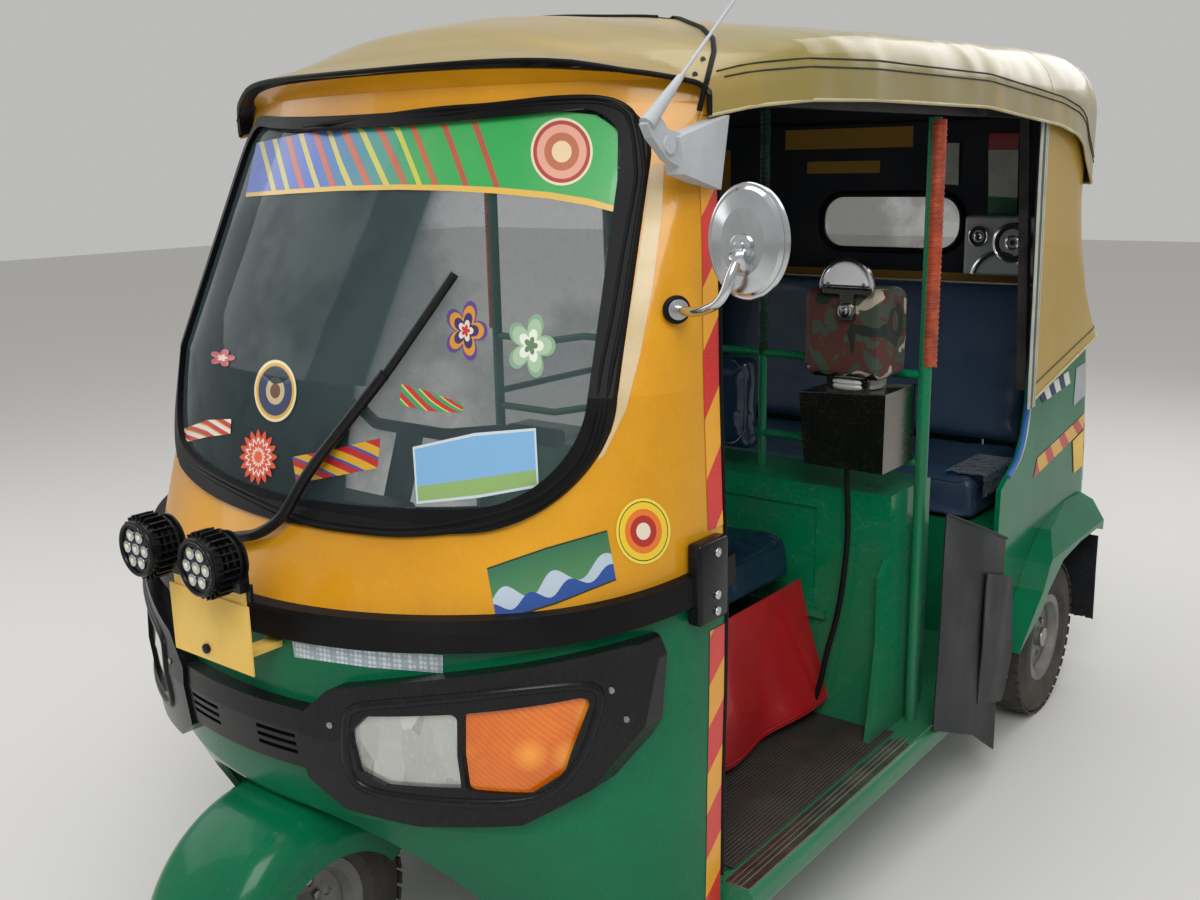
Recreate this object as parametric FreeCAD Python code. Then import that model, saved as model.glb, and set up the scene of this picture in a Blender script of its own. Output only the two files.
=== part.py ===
import FreeCAD, Part
import math
import os

# Auto rickshaw, millimetres. +Z is up, the front faces -Y, the vehicle's own left side is +X.
# Inside this file x = 0 is the vehicle's middle plane. export_node shifts the whole vehicle, because the
# one mirror reaches out on the left and the frame's origin lies under the middle of the outline.
Vector = FreeCAD.Vector
os.makedirs("parts", exist_ok=True)

# Overall sizes
overall_length = 2645
flare_width = 1330
wheel_base = 1985
rear_track = 1150
front_y = -overall_length / 2
rear_y = overall_length / 2

# Wheels
tyre_diameter = 415
tyre_width = 105
rim_width = 84
rim_flange_diameter = 232
rim_well_diameter = 176
hub_diameter = 64
hub_width = 70
axle_radius = 12
bearing_clearance = 0.05
guard_outer_radius = 245
axle_z = tyre_diameter / 2
front_axle_y = front_y + guard_outer_radius
rear_axle_y = front_axle_y + wheel_base
rear_wheel_x = rear_track / 2

# Steering
rake_angle = 20
handlebar_z = 1000
column_radius = 24
head_tube_wall = 8
head_tube_low_z = 540
head_tube_length = 170

# Cowl
cowl_wall = 12
cowl_base_y = -600
door_edge_y = -650
door_top_y = -602
sill_z = 215
belt_front_z = 785
belt_slope = 0.115
belt_height = 46
belt_reach = 20
wheel_arch_half_width = 357
wheel_arch_top_z = 462
wheel_arch_radius = 272

# Windscreen, seen from the front
screen_low_half_width = 530
screen_low_z = 976
screen_dip = 40
screen_top_half_width = 464
screen_top_z = 1552
screen_sag = 22
screen_low_radius = 168
screen_top_radius = 88
glass_thickness = 5
gasket_lap = 21
gasket_inner_lap = 12
gasket_top_share = 0.65
gasket_reach = 9

# Floor and chassis
floor_top_z = 268
floor_thickness = 14
floor_half_width = 590
floor_rear_y = 640
sill_half_width = 650
sill_front_y = -640
sill_rear_y = 540
rail_x = 240
rail_width = 50
rail_height = 60
rail_top_z = floor_top_z - floor_thickness
toe_board_y = -840
brace_half_width = 20

# Partition and rails
partition_front_y = 25
partition_rear_y = 219
partition_top_z = 790
partition_wall = 12
post_x = 580
post_y = 120
post_radius = 13
upper_rail_z = 1026
lower_rail_z = 842
middle_post_x = 210

# Seats
driver_seat_half_width = 370
driver_seat_front_y = -342
driver_seat_rear_y = -12
driver_seat_top_z = 690
driver_cushion_height = 105
driver_back_half_width = 225
passenger_seat_front_y = 620
passenger_seat_top_z = 690
passenger_cushion_height = 120
passenger_seat_half_width = 520
passenger_back_top_z = 1135
soft_gap = 0.3

# Rear tub
tub_wall = 12
tub_base_y = 548
tub_top_z = 985
wheel_well_x = 460
deck_z = passenger_seat_top_z - passenger_cushion_height
hatch_half_width = 290
hatch_low_z = 480
hatch_top_z = 750
hatch_gap = 5

# Roof
roof_wall = 9
roof_gap = 1
roof_rear_y = 1220
curtain_wall = 6
curtain_front_y = 620
mirror_outer_x = 762

# Hood frame under the canopy
hood_bar = 22
hood_rail_x = 578
hood_rail_z = 1549
hood_bend_y = -450
hood_rear_y = 960
hood_post_foot_x = 578
hood_post_foot_z = 900
bow_stations = (-439, post_y, 640, 935)
bow_clearance = 6
bow_depth = 16
bow_side_run = 30

frame_shift_x = -(mirror_outer_x - flare_width / 2) / 2


# Small builders

def box(x0, x1, y0, y1, z0, z1):
    return Part.makeBox(x1 - x0, y1 - y0, z1 - z0, Vector(x0, y0, z0))


def soft_box(x0, x1, y0, y1, z0, z1, radius):
    solid = box(x0, x1, y0, y1, z0, z1)
    return solid.makeFillet(radius, solid.Edges)


def rod(start, end, radius):
    start, end = Vector(*start), Vector(*end)
    return Part.makeCylinder(radius, (end - start).Length, start, end - start)


def prism(points, thickness):
    """Straight-sided plate: a closed outline of points, pushed out along the given vector."""
    corners = [Vector(*point) for point in points]
    face = Part.Face(Part.makePolygon(corners + corners[:1]))
    return face.extrude(Vector(*thickness))


def mirrored(solid):
    return solid.mirror(Vector(0, 0, 0), Vector(1, 0, 0))


def both_sides(solid):
    return Part.Compound([solid, mirrored(solid)])


def fuse_all(solids):
    return solids[0].fuse(solids[1:])


def edges_along(solid, direction):
    """The straight edges of a prism that run along one direction."""
    along = []
    for edge in solid.Edges:
        run = edge.Vertexes[-1].Point - edge.Vertexes[0].Point
        if run.Length > 1 and abs(run.normalize().dot(direction)) > 0.999:
            along.append(edge)
    return along


def route_wire(points, bend_radius=None):
    """Straight runs joined by tangent arcs. With no radius each arc is as large as its two runs allow."""
    points = [Vector(*point) for point in points]
    edges = []
    radii = []
    start = points[0]
    for before, corner, after in zip(points, points[1:], points[2:]):
        back = (before - corner)
        ahead = (after - corner)
        shorter = min(back.Length, ahead.Length)
        back.normalize()
        ahead.normalize()
        half_turn = (math.pi - back.getAngle(ahead)) / 2
        radius = bend_radius if bend_radius else 0.45 * shorter / math.tan(half_turn)
        setback = radius * math.tan(half_turn)
        arc_start = corner + back * setback
        arc_end = corner + ahead * setback
        middle_line = (back + ahead).normalize()
        arc_middle = corner + middle_line * (radius / math.cos(half_turn) - radius)
        edges.append(Part.LineSegment(start, arc_start).toShape())
        edges.append(Part.Arc(arc_start, arc_middle, arc_end).toShape())
        radii.append(radius)
        start = arc_end
    edges.append(Part.LineSegment(start, points[-1]).toShape())
    return Part.Wire(edges), radii


def tube(points, radius, bend_radius=None):
    """Round tube along a route: a cylinder for each straight run and a torus piece for each arc."""
    wire, radii = route_wire(points, bend_radius)
    spans = []
    for edge in wire.Edges:
        start, end = edge.valueAt(edge.FirstParameter), edge.valueAt(edge.LastParameter)
        disc = Part.Face(Part.Wire(Part.makeCircle(radius, start, edge.tangentAt(edge.FirstParameter))))
        if isinstance(edge.Curve, Part.Circle):
            turn = math.degrees(edge.LastParameter - edge.FirstParameter)
            spans.append(disc.revolve(edge.Curve.Center, edge.Curve.Axis, turn))
        else:
            spans.append(disc.extrude(end - start))
    return fuse_all(spans)


def turned(profile, centre_x, centre_y):
    """Solid turned about the wheel axis. The profile's points are (distance along the axis, radius)."""
    corners = [Vector(centre_x + along, centre_y, axle_z + radius) for along, radius in profile]
    face = Part.Face(Part.makePolygon(corners + corners[:1]))
    return face.revolve(Vector(centre_x, centre_y, axle_z), Vector(1, 0, 0), 360)


def arch_wire(half_width, rise, side_run, crown_radius, place):
    """Closed arch outline: two straight sides, two corner arcs and one wide crown arc.

    place(u, w) turns a distance across and a height above the base line into a point.
    """
    crown_rise = rise - side_run
    crown_depth = crown_radius - crown_rise
    corner = (crown_radius ** 2 - crown_depth ** 2 - half_width ** 2) / (2 * (crown_radius - half_width))
    corner_u = half_width - corner
    lean = math.atan2(corner_u, crown_depth)
    half_lean = (math.pi / 2 + lean) / 2
    join_u = crown_radius * math.sin(lean)
    join_w = side_run - crown_depth + crown_radius * math.cos(lean)
    mid_u = corner_u + corner * math.sin(half_lean)
    mid_w = side_run + corner * math.cos(half_lean)
    right = [place(half_width, 0), place(half_width, side_run), place(mid_u, mid_w), place(join_u, join_w)]
    left = [place(-half_width, 0), place(-half_width, side_run), place(-mid_u, mid_w), place(-join_u, join_w)]
    return Part.Wire([
        Part.LineSegment(right[0], right[1]).toShape(),
        Part.Arc(right[1], right[2], right[3]).toShape(),
        Part.Arc(right[3], place(0, rise), left[3]).toShape(),
        Part.Arc(left[3], left[2], left[1]).toShape(),
        Part.LineSegment(left[1], left[0]).toShape(),
        Part.LineSegment(left[0], right[0]).toShape()])


def shell(loft, outset, wall, overrun=1):
    """Wall between two lofts of one form: loft(outset, overrun) gives the solid form grown by outset."""
    return loft(outset, 0).cut(loft(outset - wall, overrun))


def export_node(name, shape):
    shape = shape.copy()
    shape.translate(Vector(frame_shift_x, 0, 0))
    solids = shape.Solids
    whole = solids[0] if len(solids) == 1 else Part.Compound(solids)
    whole.exportStep("parts/" + name + ".step")
    print(name, len(solids), "solids", round(whole.Volume / 1e6, 3), "litres", whole.isValid())


# Cowl form, in plan. Columns: height, half width, front y, straight side, crown radius
cowl_sections = [
    (sill_z, 592, -990, 66, 800),
    (470, 594, -1115, 90, 790),
    (620, 598, -1132, 75, 780),
    (800, 600, -1122, 75, 780),
    (940, 594, -1035, 110, 1000),
    (1130, 587, -992, 120, 990),
    (1545, 550, -798, 15, 950),
    (1578, 550, -790, 12, 950),
    (1604, 556, -826, 15, 940)]


def cowl_form(outset, overrun):
    wires = []
    last = len(cowl_sections) - 1
    for index, (height, half_width, front, side_run, radius) in enumerate(cowl_sections):
        level = height - overrun if index == 0 else height + overrun if index == last else height
        wires.append(arch_wire(half_width + outset, cowl_base_y - front + outset, side_run, radius + outset,
                               lambda u, w, z=level: Vector(u, cowl_base_y - w, z)))
    return Part.makeLoft(wires, True, True)


def belt_z(y):
    return belt_front_z + belt_slope * (y + 1122)


def belt_slab(low, high):
    """Slab across the vehicle that follows the rising belt line, between two heights above it."""
    reach = 800
    near, far = front_y - 100, cowl_base_y + 10
    return prism([(-reach, near, belt_z(near) + low), (-reach, far, belt_z(far) + low),
                  (-reach, far, belt_z(far) + high), (-reach, near, belt_z(near) + high)], (2 * reach, 0, 0))


def screen_prism(grow):
    """The windscreen outline seen from the front, pushed through the cowl from front to back."""
    near = front_y - 100
    depth = cowl_base_y - near - 2
    low_half, low_z = screen_low_half_width + grow, screen_low_z - grow
    top_half, top_z = screen_top_half_width + grow, screen_top_z + grow * gasket_top_share
    low_right, low_left = Vector(low_half, near, low_z), Vector(-low_half, near, low_z)
    top_right, top_left = Vector(top_half, near, top_z), Vector(-top_half, near, top_z)
    outline = Part.Wire([
        Part.Arc(low_left, Vector(0, near, low_z - screen_dip), low_right).toShape(),
        Part.LineSegment(low_right, top_right).toShape(),
        Part.Arc(top_right, Vector(0, near, top_z - screen_sag), top_left).toShape(),
        Part.LineSegment(top_left, low_left).toShape()])
    solid = Part.Face(outline).extrude(Vector(0, depth, 0))
    low = [edge for edge in edges_along(solid, Vector(0, 1, 0)) if edge.Vertexes[0].Z < low_z + 5]
    solid = solid.makeFillet(screen_low_radius + grow, low)
    top = [edge for edge in edges_along(solid, Vector(0, 1, 0))
           if edge.Vertexes[0].Z > top_z - 5 and abs(edge.Vertexes[0].X) > top_half - 5]
    return solid.makeFillet(screen_top_radius + grow, top)


# Roof form, in upright sections across the vehicle.
# Columns: y, half width, eave height, crown height, straight side, crown radius
roof_sections = [
    (-860, 500, 1500, 1594, 40, 3000),
    (-720, 545, 1512, 1657, 30, 1500),
    (-650, 560, 1522, 1690, 25, 1300),
    (-560, 590, 1538, 1708, 25, 1700),
    (-440, 620, 1548, 1712, 35, 2400),
    (-250, 638, 1552, 1716, 45, 3200),
    (250, 640, 1552, 1727, 45, 3400),
    (700, 640, 1522, 1740, 50, 3000),
    (821, 639, 1504, 1740, 65, 3000),
    (884, 637, 1486, 1740, 81, 3000),
    (925, 634, 1443, 1740, 121, 3000),
    (1000, 628, 1385, 1738, 166, 3000),
    (1080, 592, 1385, 1735, 165, 3000),
    (1150, 530, 1385, 1722, 170, 3000),
    (1190, 468, 1385, 1700, 165, 3000),
    (1212, 396, 1385, 1660, 151, 3000),
    (roof_rear_y, 336, 1385, 1625, 140, 3000)]


def roof_form(outset, overrun):
    wires = []
    last = len(roof_sections) - 1
    for index, (y, half_width, eave, crown, side_run, radius) in enumerate(roof_sections):
        station = y - overrun if index == 0 else y + outset if index == last else y
        wires.append(arch_wire(half_width + outset, crown - eave + outset + overrun, side_run + overrun,
                               radius + outset, lambda u, w, s=station, e=eave: Vector(u, s, e - overrun + w)))
    return Part.makeLoft(wires, True, True)


def roof_at(y):
    """Height of the roof's middle line and its crown radius at a station along the vehicle."""
    for behind, ahead in zip(roof_sections, roof_sections[1:]):
        if behind[0] <= y <= ahead[0]:
            share = (y - behind[0]) / (ahead[0] - behind[0])
            return behind[3] + share * (ahead[3] - behind[3]), behind[5] + share * (ahead[5] - behind[5])


def roof_edge_prism():
    """Everything behind the roof's bowed front edge."""
    side_x, side_y, middle_y = 660, -558, -832
    outline = Part.Wire([
        Part.Arc(Vector(side_x, side_y, 1300), Vector(0, middle_y, 1300), Vector(-side_x, side_y, 1300)).toShape(),
        Part.makePolygon([Vector(-side_x, side_y, 1300), Vector(-side_x, rear_y, 1300),
                          Vector(side_x, rear_y, 1300), Vector(side_x, side_y, 1300)])])
    return Part.Face(outline).extrude(Vector(0, 0, 600))


# Tub form, in plan, open to the front. Columns: height, half width, rear y, straight side, crown radius
tub_sections = [
    (sill_z, 598, 1286, 630, 5000),
    (420, 602, 1289, 633, 5000),
    (554, 604, 1288, 632, 5000),
    (793, 606, 1256, 600, 5000),
    (tub_top_z, 606, 1222, 566, 5000)]


def tub_form(outset, overrun):
    wires = []
    last = len(tub_sections) - 1
    for index, (height, half_width, rear, side_run, radius) in enumerate(tub_sections):
        level = height - overrun if index == 0 else height + overrun if index == last else height
        base = tub_base_y - overrun
        wires.append(arch_wire(half_width + outset, rear - base + outset, side_run + overrun, radius + outset,
                               lambda u, w, z=level, b=base: Vector(u, b + w, z)))
    return Part.makeLoft(wires, True, True)


# Hood back and side curtains, in plan, open to the front.
# Columns: height, half width, rear y, straight side, crown radius
curtain_sections = [
    (880, 624, 1224, 523, 5000),
    (tub_top_z, 624, 1220, 519, 5000),
    (1115, 624, 1209, 383, 5000),
    (1247, 624, 1208, 320, 5000),
    (1350, 622, 1210, 300, 5000),
    (1560, 622, 1210, 298, 5000)]


def curtain_form(outset, overrun):
    wires = []
    last = len(curtain_sections) - 1
    for index, (height, half_width, rear, side_run, radius) in enumerate(curtain_sections):
        level = height - overrun if index == 0 else height + overrun if index == last else height
        base = curtain_front_y - overrun
        wires.append(arch_wire(half_width + outset, rear - base + outset, side_run + overrun, radius + outset,
                               lambda u, w, z=level, b=base: Vector(u, b + w, z)))
    return Part.makeLoft(wires, True, True)


# Steering axis

def on_steering_axis(z):
    """Point of the raked steering axis at height z. It meets the axle's level a trail's length ahead."""
    trail_at_axle = 42
    return (0, front_axle_y + trail_at_axle + (z - axle_z) * math.tan(math.radians(rake_angle)), z)


# Front body

def make_cowl_lower():
    wall = shell(cowl_form, 0, cowl_wall)
    wall = wall.common(box(-800, 800, front_y, door_edge_y, sill_z, 1000))
    wall = wall.cut(belt_slab(0, 400))
    arch = box(-wheel_arch_half_width, wheel_arch_half_width, front_y - 10, -700, sill_z - 300, wheel_arch_top_z)
    top_edges = [edge for edge in edges_along(arch, Vector(0, 1, 0)) if edge.Vertexes[0].Z > sill_z]
    arch = arch.makeFillet(wheel_arch_radius, top_edges)
    return wall.cut(arch)


def door_edge_prism():
    """Everything ahead of the door openings. Their front edge leans back above the waist."""
    return side_prism([(front_y - 50, 0), (door_edge_y, 0), (door_edge_y, cowl_sections[5][0]),
                       (door_top_y, cowl_sections[6][0]), (door_top_y, 1700), (front_y - 50, 1700)], -800, 800)


def make_cowl_upper():
    wall = shell(cowl_form, 0, cowl_wall).common(door_edge_prism())
    wall = wall.cut(belt_slab(-400, 0)).cut(screen_prism(gasket_lap))
    behind_edge = roof_edge_prism()
    under_roof = roof_form(-roof_wall - roof_gap, 1).common(behind_edge)
    return wall.common(fuse_all([under_roof, box(-700, 700, front_y, -500, 600, 1523),
                                 box(-700, 700, front_y, -500, 1500, 1620).cut(behind_edge)]))


def make_gasket():
    ring = screen_prism(gasket_lap).cut(screen_prism(-gasket_inner_lap))
    return shell(cowl_form, gasket_reach, gasket_reach + cowl_wall).common(ring)


def make_windscreen():
    return shell(cowl_form, -2, glass_thickness).common(screen_prism(-gasket_inner_lap))


def make_belt_moulding():
    band = shell(cowl_form, belt_reach, belt_reach).common(belt_slab(-belt_height / 2, belt_height / 2))
    return band.common(box(-800, 800, front_y, door_edge_y - 2, 600, 1000))


# Lamp mask at each side of the nose, seen from the front: (x, z) corners
surround_corner_radius = 12
lens_corner_radius = 10
surround_outline = [(152, 545), (152, 652), (205, 700), (330, 728), (585, 775), (600, 745), (590, 640),
                    (545, 555), (470, 505), (330, 492), (215, 502)]
lens_outline = [(248, 574), (242, 640), (268, 668), (398, 684), (398, 562), (290, 556)]
indicator_outline = [(404, 685), (548, 706), (520, 590), (480, 556), (404, 561)]


def front_prism(outline, corner_radius):
    """Outline seen from the front with rounded corners, pushed through the nose from front to back."""
    near = front_y - 50
    solid = prism([(x, near, z) for x, z in outline], (0, 560, 0))
    return solid.makeFillet(corner_radius, edges_along(solid, Vector(0, 1, 0)))


def make_lamp_surround():
    mask = shell(cowl_form, 32, 32).common(front_prism(surround_outline, surround_corner_radius))
    mask = mask.common(box(0, 800, front_y, door_edge_y - 40, 400, 900))
    recess = front_prism(lens_outline, lens_corner_radius).fuse(front_prism(indicator_outline, lens_corner_radius))
    return both_sides(mask.cut(recess).cut(belt_slab(-belt_height / 2 - soft_gap, belt_height)))


def make_lens(outline):
    return both_sides(shell(cowl_form, 24, 23).common(front_prism(outline, lens_corner_radius)))


bumper_half_width = 151
bumper_low_z = 556
bumper_top_z = 656
vent_rib_count = 3
vent_rib_pitch = 14


def make_bumper_centre():
    band = shell(cowl_form, 26, 26).common(box(-bumper_half_width, bumper_half_width, front_y, -900,
                                               bumper_low_z, bumper_top_z))
    for side in (-1, 1):
        for rib in range(vent_rib_count):
            slot_z = bumper_low_z + 22 + rib * vent_rib_pitch
            outer = shell(cowl_form, 40, 24)
            band = band.cut(outer.common(box(side * 92 - 42, side * 92 + 42, front_y - 50, -900,
                                             slot_z, slot_z + vent_rib_pitch / 2)))
    return band


plate_width = 200
plate_height = 110
plate_thickness = 3
plate_centre_x = 14
plate_centre_z = 775
plate_y = -1196


def make_front_plate():
    """Blank plate with a strap behind it and two arms back to the cowl."""
    plate = box(plate_centre_x - plate_width / 2, plate_centre_x + plate_width / 2, plate_y, plate_y + plate_thickness,
                plate_centre_z - plate_height / 2, plate_centre_z + plate_height / 2)
    foot_y = plate_y + plate_thickness
    strap = box(plate_centre_x - 90, plate_centre_x + 90, foot_y, foot_y + 4, 735, 850)
    arms = [box(plate_centre_x + dx - 14, plate_centre_x + dx + 14, foot_y, cowl_base_y, 738, 748) for dx in (-60, 60)]
    return fuse_all([plate, strap] + [arm.cut(cowl_form(soft_gap, 1)) for arm in arms])


spot_lamp_x = (-62, 92)
spot_lamp_z = 905
spot_lamp_radius = 44
spot_lamp_front_y = -1258
spot_lamp_depth = 62


def make_spot_lamps():
    bar_y = plate_y + plate_thickness + 4
    pieces = [box(spot_lamp_x[0] - 22, spot_lamp_x[1] + 22, bar_y, bar_y + 6, 835, 862)]
    for x in spot_lamp_x:
        back = spot_lamp_front_y + spot_lamp_depth
        pieces.append(rod((x, spot_lamp_front_y, spot_lamp_z), (x, spot_lamp_front_y + 14, spot_lamp_z), spot_lamp_radius))
        pieces.append(rod((x, spot_lamp_front_y, spot_lamp_z), (x, back, spot_lamp_z), spot_lamp_radius - 10))
        for fin in range(4):
            fin_y = spot_lamp_front_y + 21 + fin * 11
            pieces.append(rod((x, fin_y, spot_lamp_z), (x, fin_y + 4, spot_lamp_z), spot_lamp_radius - 2))
        pieces.append(box(x - 14, x + 14, back - 4, bar_y + 6, 850, spot_lamp_z))
    return fuse_all(pieces)


def make_wiper():
    """Pivot cap on the cowl, thick arm along the cowl's shoulder and up over the glass, and the blade."""
    cap = rod((-84, -1070, 862), (-84, -1104, 880), 15).cut(cowl_form(soft_gap, 1))
    arm = tube([(-84, -1099, 876), (3, -1087, 895), (41, -1068, 923), (82, -1042, 1000), (196, -975, 1154)], 9)
    blade = tube([(71, -1029, 1003), (181, -987, 1125), (266, -886, 1300)], 7)
    return fuse_all([cap, arm, blade])


def make_wheel_housing():
    """Toe board and the housing over the front wheel, with the hole that the steering column passes."""
    wall = 6
    top_z = 530
    inner_form = cowl_form(-cowl_wall - soft_gap, 1)
    half = wheel_arch_half_width
    top = box(-half, half, -1140, toe_board_y, top_z, top_z + wall)
    back = box(-half, half, toe_board_y, toe_board_y + wall, floor_top_z, top_z + wall)
    cheek = box(half, half + wall, -1140, toe_board_y + wall, floor_top_z, top_z + wall)
    solid = fuse_all([top, back, cheek, mirrored(cheek)]).common(inner_form)
    hole = rod(on_steering_axis(top_z - 40), on_steering_axis(top_z + 40), column_radius + head_tube_wall + 3)
    return solid.cut(hole)


def make_dashboard():
    """Shelf under the windscreen with a knee panel and a raised instrument pod."""
    inner_form = cowl_form(-cowl_wall - soft_gap, 1)
    shelf = box(-600, 600, -1140, -890, 872, 884)
    panel = box(-600, 600, -896, -884, 770, 884)
    pod = box(-150, 150, -960, -884, 884, 928)
    pod = pod.makeFillet(14, edges_along(pod, Vector(1, 0, 0)))
    return fuse_all([shelf, panel, pod]).common(inner_form)


# Chassis and floor

def make_chassis():
    z0, z1 = rail_top_z - rail_height, rail_top_z
    rail = box(rail_x - rail_width / 2, rail_x + rail_width / 2, -780, 1230, z0, z1)
    members = [rail, mirrored(rail)]
    for y in (-760, -300, 180, 620, 1190):
        members.append(box(-rail_x, rail_x, y - 20, y + 20, z0 + 10, z1))
    for y in (-560, -60, 400):
        members.append(box(-floor_half_width + 20, floor_half_width - 20, y - 15, y + 15, z1 - 30, z1))
    head_low = on_steering_axis(head_tube_low_z)
    axis = Vector(0, math.sin(math.radians(rake_angle)), math.cos(math.radians(rake_angle)))
    head_top = tuple(Vector(*head_low) + axis * head_tube_length)
    bore = rod(tuple(Vector(*head_low) - axis * 5), tuple(Vector(*head_top) + axis * 5), column_radius)
    head = rod(head_low, head_top, column_radius + head_tube_wall).cut(bore)
    brace = side_prism([(-892, 585), (-868, 672), (-812, 600), (-780, 300), (-760, z0 + 10), (-800, z0 + 10),
                        (-815, 300), (-826, 545)], -brace_half_width, brace_half_width)
    return fuse_all(members + [head, brace.cut(rod(head_low, head_top, column_radius + 2))])


def make_floor():
    """Floor sheet with pressed ribs, and a rolled sill along each door opening."""
    sheet = box(-floor_half_width, floor_half_width, toe_board_y + 6.3, tub_base_y - soft_gap, rail_top_z, floor_top_z)
    between = box(-floor_half_width + 8, floor_half_width - 8, tub_base_y - 8, floor_rear_y, rail_top_z, floor_top_z)
    sheet = sheet.fuse(between)
    ribs = [box(-200, 200, y - 8, y + 8, floor_top_z, floor_top_z + 5) for y in (300, 360, 420, 480)]
    sill = box(floor_half_width - 5, sill_half_width, sill_front_y, sill_rear_y, 218, 272)
    sill = sill.makeFillet(18, [edge for edge in edges_along(sill, Vector(0, 1, 0))
                                if edge.Vertexes[0].X > floor_half_width])
    corner = box(wheel_arch_half_width + 6.5, floor_half_width - 14, -960, toe_board_y + 20, rail_top_z, floor_top_z)
    corner = corner.common(cowl_form(-cowl_wall - soft_gap, 1))
    pan = sheet.common(cowl_form(-cowl_wall - soft_gap, 1).fuse(box(-800, 800, door_edge_y, floor_rear_y, 0, 600)))
    slot = box(-brace_half_width - soft_gap, brace_half_width + soft_gap, -820, -750, 0, 400)
    return fuse_all([pan, sill, mirrored(sill), corner, mirrored(corner)] + ribs).cut(slot)


def make_sill_plates():
    plate = box(595, 641, -640, 0, 272, 275)
    mat = box(-575, 575, -628, -350, floor_top_z, floor_top_z + 4)
    return Part.Compound([plate, mirrored(plate), mat])


# Partition, posts and rails

def make_partition():
    """Pressed bulkhead: front wall, top cap, end flanges with a shoulder and a flared foot."""
    half = 568
    front = box(-half, half, partition_front_y, partition_front_y + partition_wall, floor_top_z, partition_top_z)
    cap = box(-half, half, partition_front_y, partition_rear_y, partition_top_z - partition_wall, partition_top_z)
    cap = cap.makeFillet(8, [edge for edge in edges_along(cap, Vector(1, 0, 0)) if edge.Vertexes[0].Z > partition_top_z - 1])
    end = prism([(half - partition_wall, partition_front_y, partition_top_z - 2),
                 (half - partition_wall, partition_rear_y, partition_top_z - 2),
                 (half - partition_wall, partition_rear_y, floor_top_z),
                 (half - partition_wall, partition_front_y - 70, floor_top_z),
                 (half - partition_wall, partition_front_y - 55, 330),
                 (half - partition_wall, partition_front_y - 30, 480),
                 (half - partition_wall, partition_front_y - 30, 625),
                 (half - partition_wall, partition_front_y, 655)], (partition_wall, 0, 0))
    ledge = box(-430, 430, partition_front_y - 14, partition_front_y, 500, 516)
    relief = box(-400, 400, partition_front_y - 1, partition_front_y + 5, 560, 740)
    post_hole = rod((middle_post_x, post_y, 700), (middle_post_x, post_y, 900), post_radius + 1)
    wall = fuse_all([front, cap, end, mirrored(end), ledge]).cut(relief)
    return wall.cut(post_hole).cut(mirrored(post_hole))


def make_rails():
    """Side posts from the sill to the roof rail, short posts to the roof, and the rails behind the driver."""
    top_z = 1532
    x = post_x + 8
    side_post = rod((x, post_y, 272), (x, post_y, top_z), post_radius)
    middle = rod((middle_post_x, post_y, 700), (middle_post_x, post_y, 1660), 9)
    pieces = [side_post, mirrored(side_post), middle, mirrored(middle)]
    for z, dip in ((upper_rail_z, 18), (lower_rail_z, 22)):
        pieces.append(tube([(-x, post_y, z), (-400, post_y, z), (-300, post_y, z + dip), (300, post_y, z + dip),
                            (400, post_y, z), (x, post_y, z)], 9, 40))
    foot = rod((middle_post_x, post_y, 700), (middle_post_x, post_y, 712), 16)
    pieces += [foot, mirrored(foot)]
    guard = [tube([(-x, post_y, z), (-x + 1, 360, z), (-x + 5.3, rear_end, z)], 9, 400)
             for z, rear_end in ((700, 612), (880, 735))]
    return fuse_all(pieces + guard)


def make_driver_base():
    half = driver_seat_half_width
    top_z = driver_seat_top_z - driver_cushion_height - soft_gap
    return box(-half, half, driver_seat_front_y, driver_seat_rear_y, floor_top_z, top_z).cut(
        box(-half + 12, half - 12, driver_seat_front_y + 12, driver_seat_rear_y - 12, floor_top_z - 1, top_z - 12))


def make_driver_cushion():
    half = driver_seat_half_width + 4
    return soft_box(-half, half, driver_seat_front_y - 6, driver_seat_rear_y + 6,
                    driver_seat_top_z - driver_cushion_height, driver_seat_top_z, 26)


def make_driver_back():
    rear = post_y - 9 - soft_gap
    return soft_box(-driver_back_half_width, driver_back_half_width, rear - 70, rear, 828, 1052, 24)


def make_passenger_cushion():
    half = passenger_seat_half_width
    return soft_box(-half, half, passenger_seat_front_y, 1052, deck_z + soft_gap, passenger_seat_top_z, 30)


def make_passenger_back():
    """Leaning backrest across the tub, with rounded long edges."""
    half = passenger_seat_half_width - 14
    low, top = passenger_seat_top_z + soft_gap, passenger_back_top_z
    solid = prism([(-half, 985, low), (-half, 1085, low), (-half, 1150, top), (-half, 1050, top)], (2 * half, 0, 0))
    return solid.makeFillet(22, solid.Edges)


# Rear body

arch_outline = [(tub_base_y - 20, 150), (569, 287), (722, 349), (766, 390), (870, 444), (1007, 458), (1175, 457),
                (1216, 420), (1222, 150)]
tub_front_outline = [(500, 190), (553, 190), (550, 690), (592, 712), (655, 745), (690, 800), (704, 872),
                     (712, 1000), (500, 1000)]


def side_prism(outline, x0, x1):
    return prism([(x0, y, z) for y, z in outline], (x1 - x0, 0, 0))


def hatch_prism(gap):
    return box(-hatch_half_width - gap, hatch_half_width + gap, 1100, rear_y + 50, hatch_low_z - gap, hatch_top_z + gap)


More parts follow.
